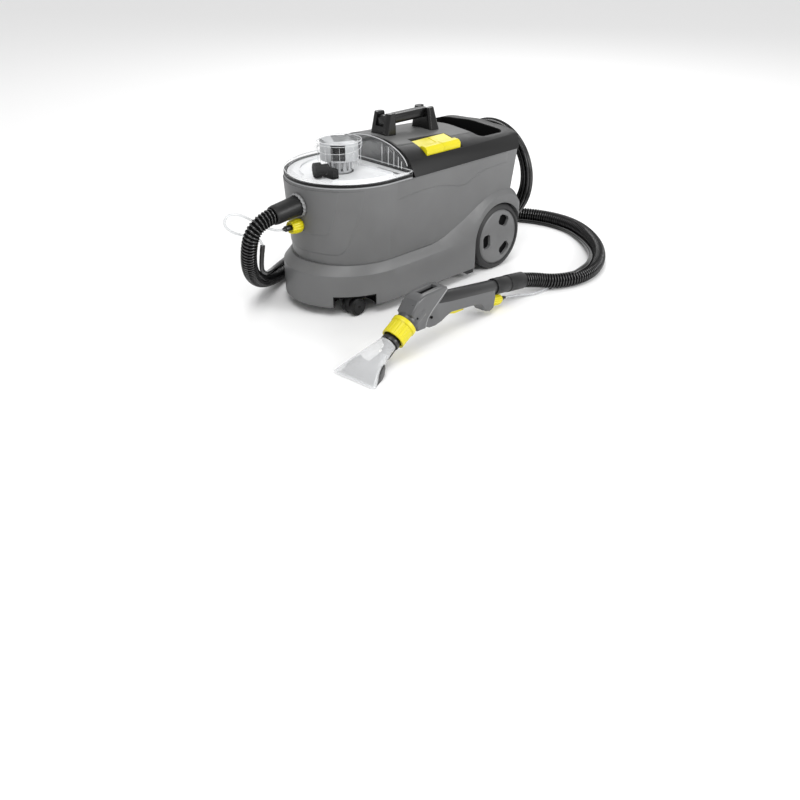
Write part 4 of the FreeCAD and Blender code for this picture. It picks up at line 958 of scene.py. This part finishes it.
def tool_details():
    """Ribs on both cheeks, pale as a painted highlight on the raised seams, and dark plugs in their
    screw holes as painted shade; a dark elbow sleeve; a dark sheet on the slot floor as painted
    shade.
    """
    ribs, holes = [], []
    for side in (-1, 1):
        ribs.append(rod_mesh("diagonal", evenly(line_of(tool_points(DIAGONAL, side * 21.8)),
                                                4 * MM), 1.9 * MM))
        for s, z in SCREWS:
            place = TOOL_PLACE @ axis_place(Vector((side * 20.4, s, z)) * MM, (side, 0, 0))
            hole = [(0, 0), (1.5 * MM, 0), (1.5 * MM, 3.2 * MM), (0, 3.2 * MM)]
            holes.append(lathe("screw_hole", hole, place, 24))
    # Pale colour on the raised diagonal seams: painted highlight.
    piece("tool_rib_highlights", joined_mesh("tool_rib_highlights", ribs), PALE_GREY_AND_HIGHLIGHT, "machine")
    # Dark plugs in the screw holes: painted shade.
    piece("screw_hole_shade", joined_mesh("screw_hole_shade", holes), BLACK_AND_SHADE, "machine")
    sleeve = [(a * MM, r * MM) for a, r in ((24, 21), (40, 21), (40, 24.6), (38.6, 25.6),
                                            (25.4, 25.6), (24, 24.6))]
    elbow = lathe("elbow_sleeve", sleeve, TOOL_PLACE @ axis_place(RING_CENTRE, NECK_AXIS), 72)
    piece("elbow_sleeve", elbow, TOOL_DARK, "machine")
    slot = [(x * MM, y * MM) for x, y in ((-8.8, 205.2), (8.8, 205.2), (8.8, 261.8), (-8.8, 261.8))]
    # Dark sheet on the slot's floor: painted shade.
    floor = prism("slot_floor_shade", slot, 130 * MM, 131 * MM, TOOL_PLACE)
    piece("slot_floor_shade", floor, BLACK_AND_SHADE, "machine")


FAN_SECTIONS = [(-2, 3.6, 59.5, 7, 62), (30, 22, 42.5, 9, 35), (80, 42, 25, 16, 29),
                (104, 50, 19.5, 19.5, 29)]


def fan_section(place):
    """Section of the clear fan at a place between 0 and 3, through the four known ones."""
    values = []
    for column in zip(*FAN_SECTIONS):
        total = 0.0
        for i, value in enumerate(column):
            weight = 1.0
            for j in range(len(column)):
                if j != i:
                    weight *= (place - j) / (i - j)
            total += weight * value
        values.append(total)
    return values


def fan_point(place, across, over):
    """Point on the fan: across is -1 to 1 over its width, over is -1 or 1 for its faces."""
    s, height, half, depth, slope = fan_section(place)
    up = sloped(slope + 90) * depth * over
    return TOOL_PLACE @ ((Vector((half * across, s, height)) + up) * MM)


def fan_highlight_beads():
    """Lips on the fan's mouth and along the lower half of its side edges, bright as painted
    highlights.
    """
    beads = []
    for over in (-0.7, 1):
        lip = [fan_point(0, -0.94 + 1.88 * i / 12, over) for i in range(13)]
        beads.append(rod_mesh("lip", lip, 0.9 * MM))
    for across in (-0.98, 0.98):
        edge = [fan_point(i / 12, across, 0.45) for i in range(13)]
        beads.append(rod_mesh("edge", edge, 0.9 * MM))
    piece("fan_highlight_beads", joined_mesh("fan_highlight_beads", beads), CLEAR_RIB_AND_HIGHLIGHT, "machine")


tool_details()
fan_highlight_beads()
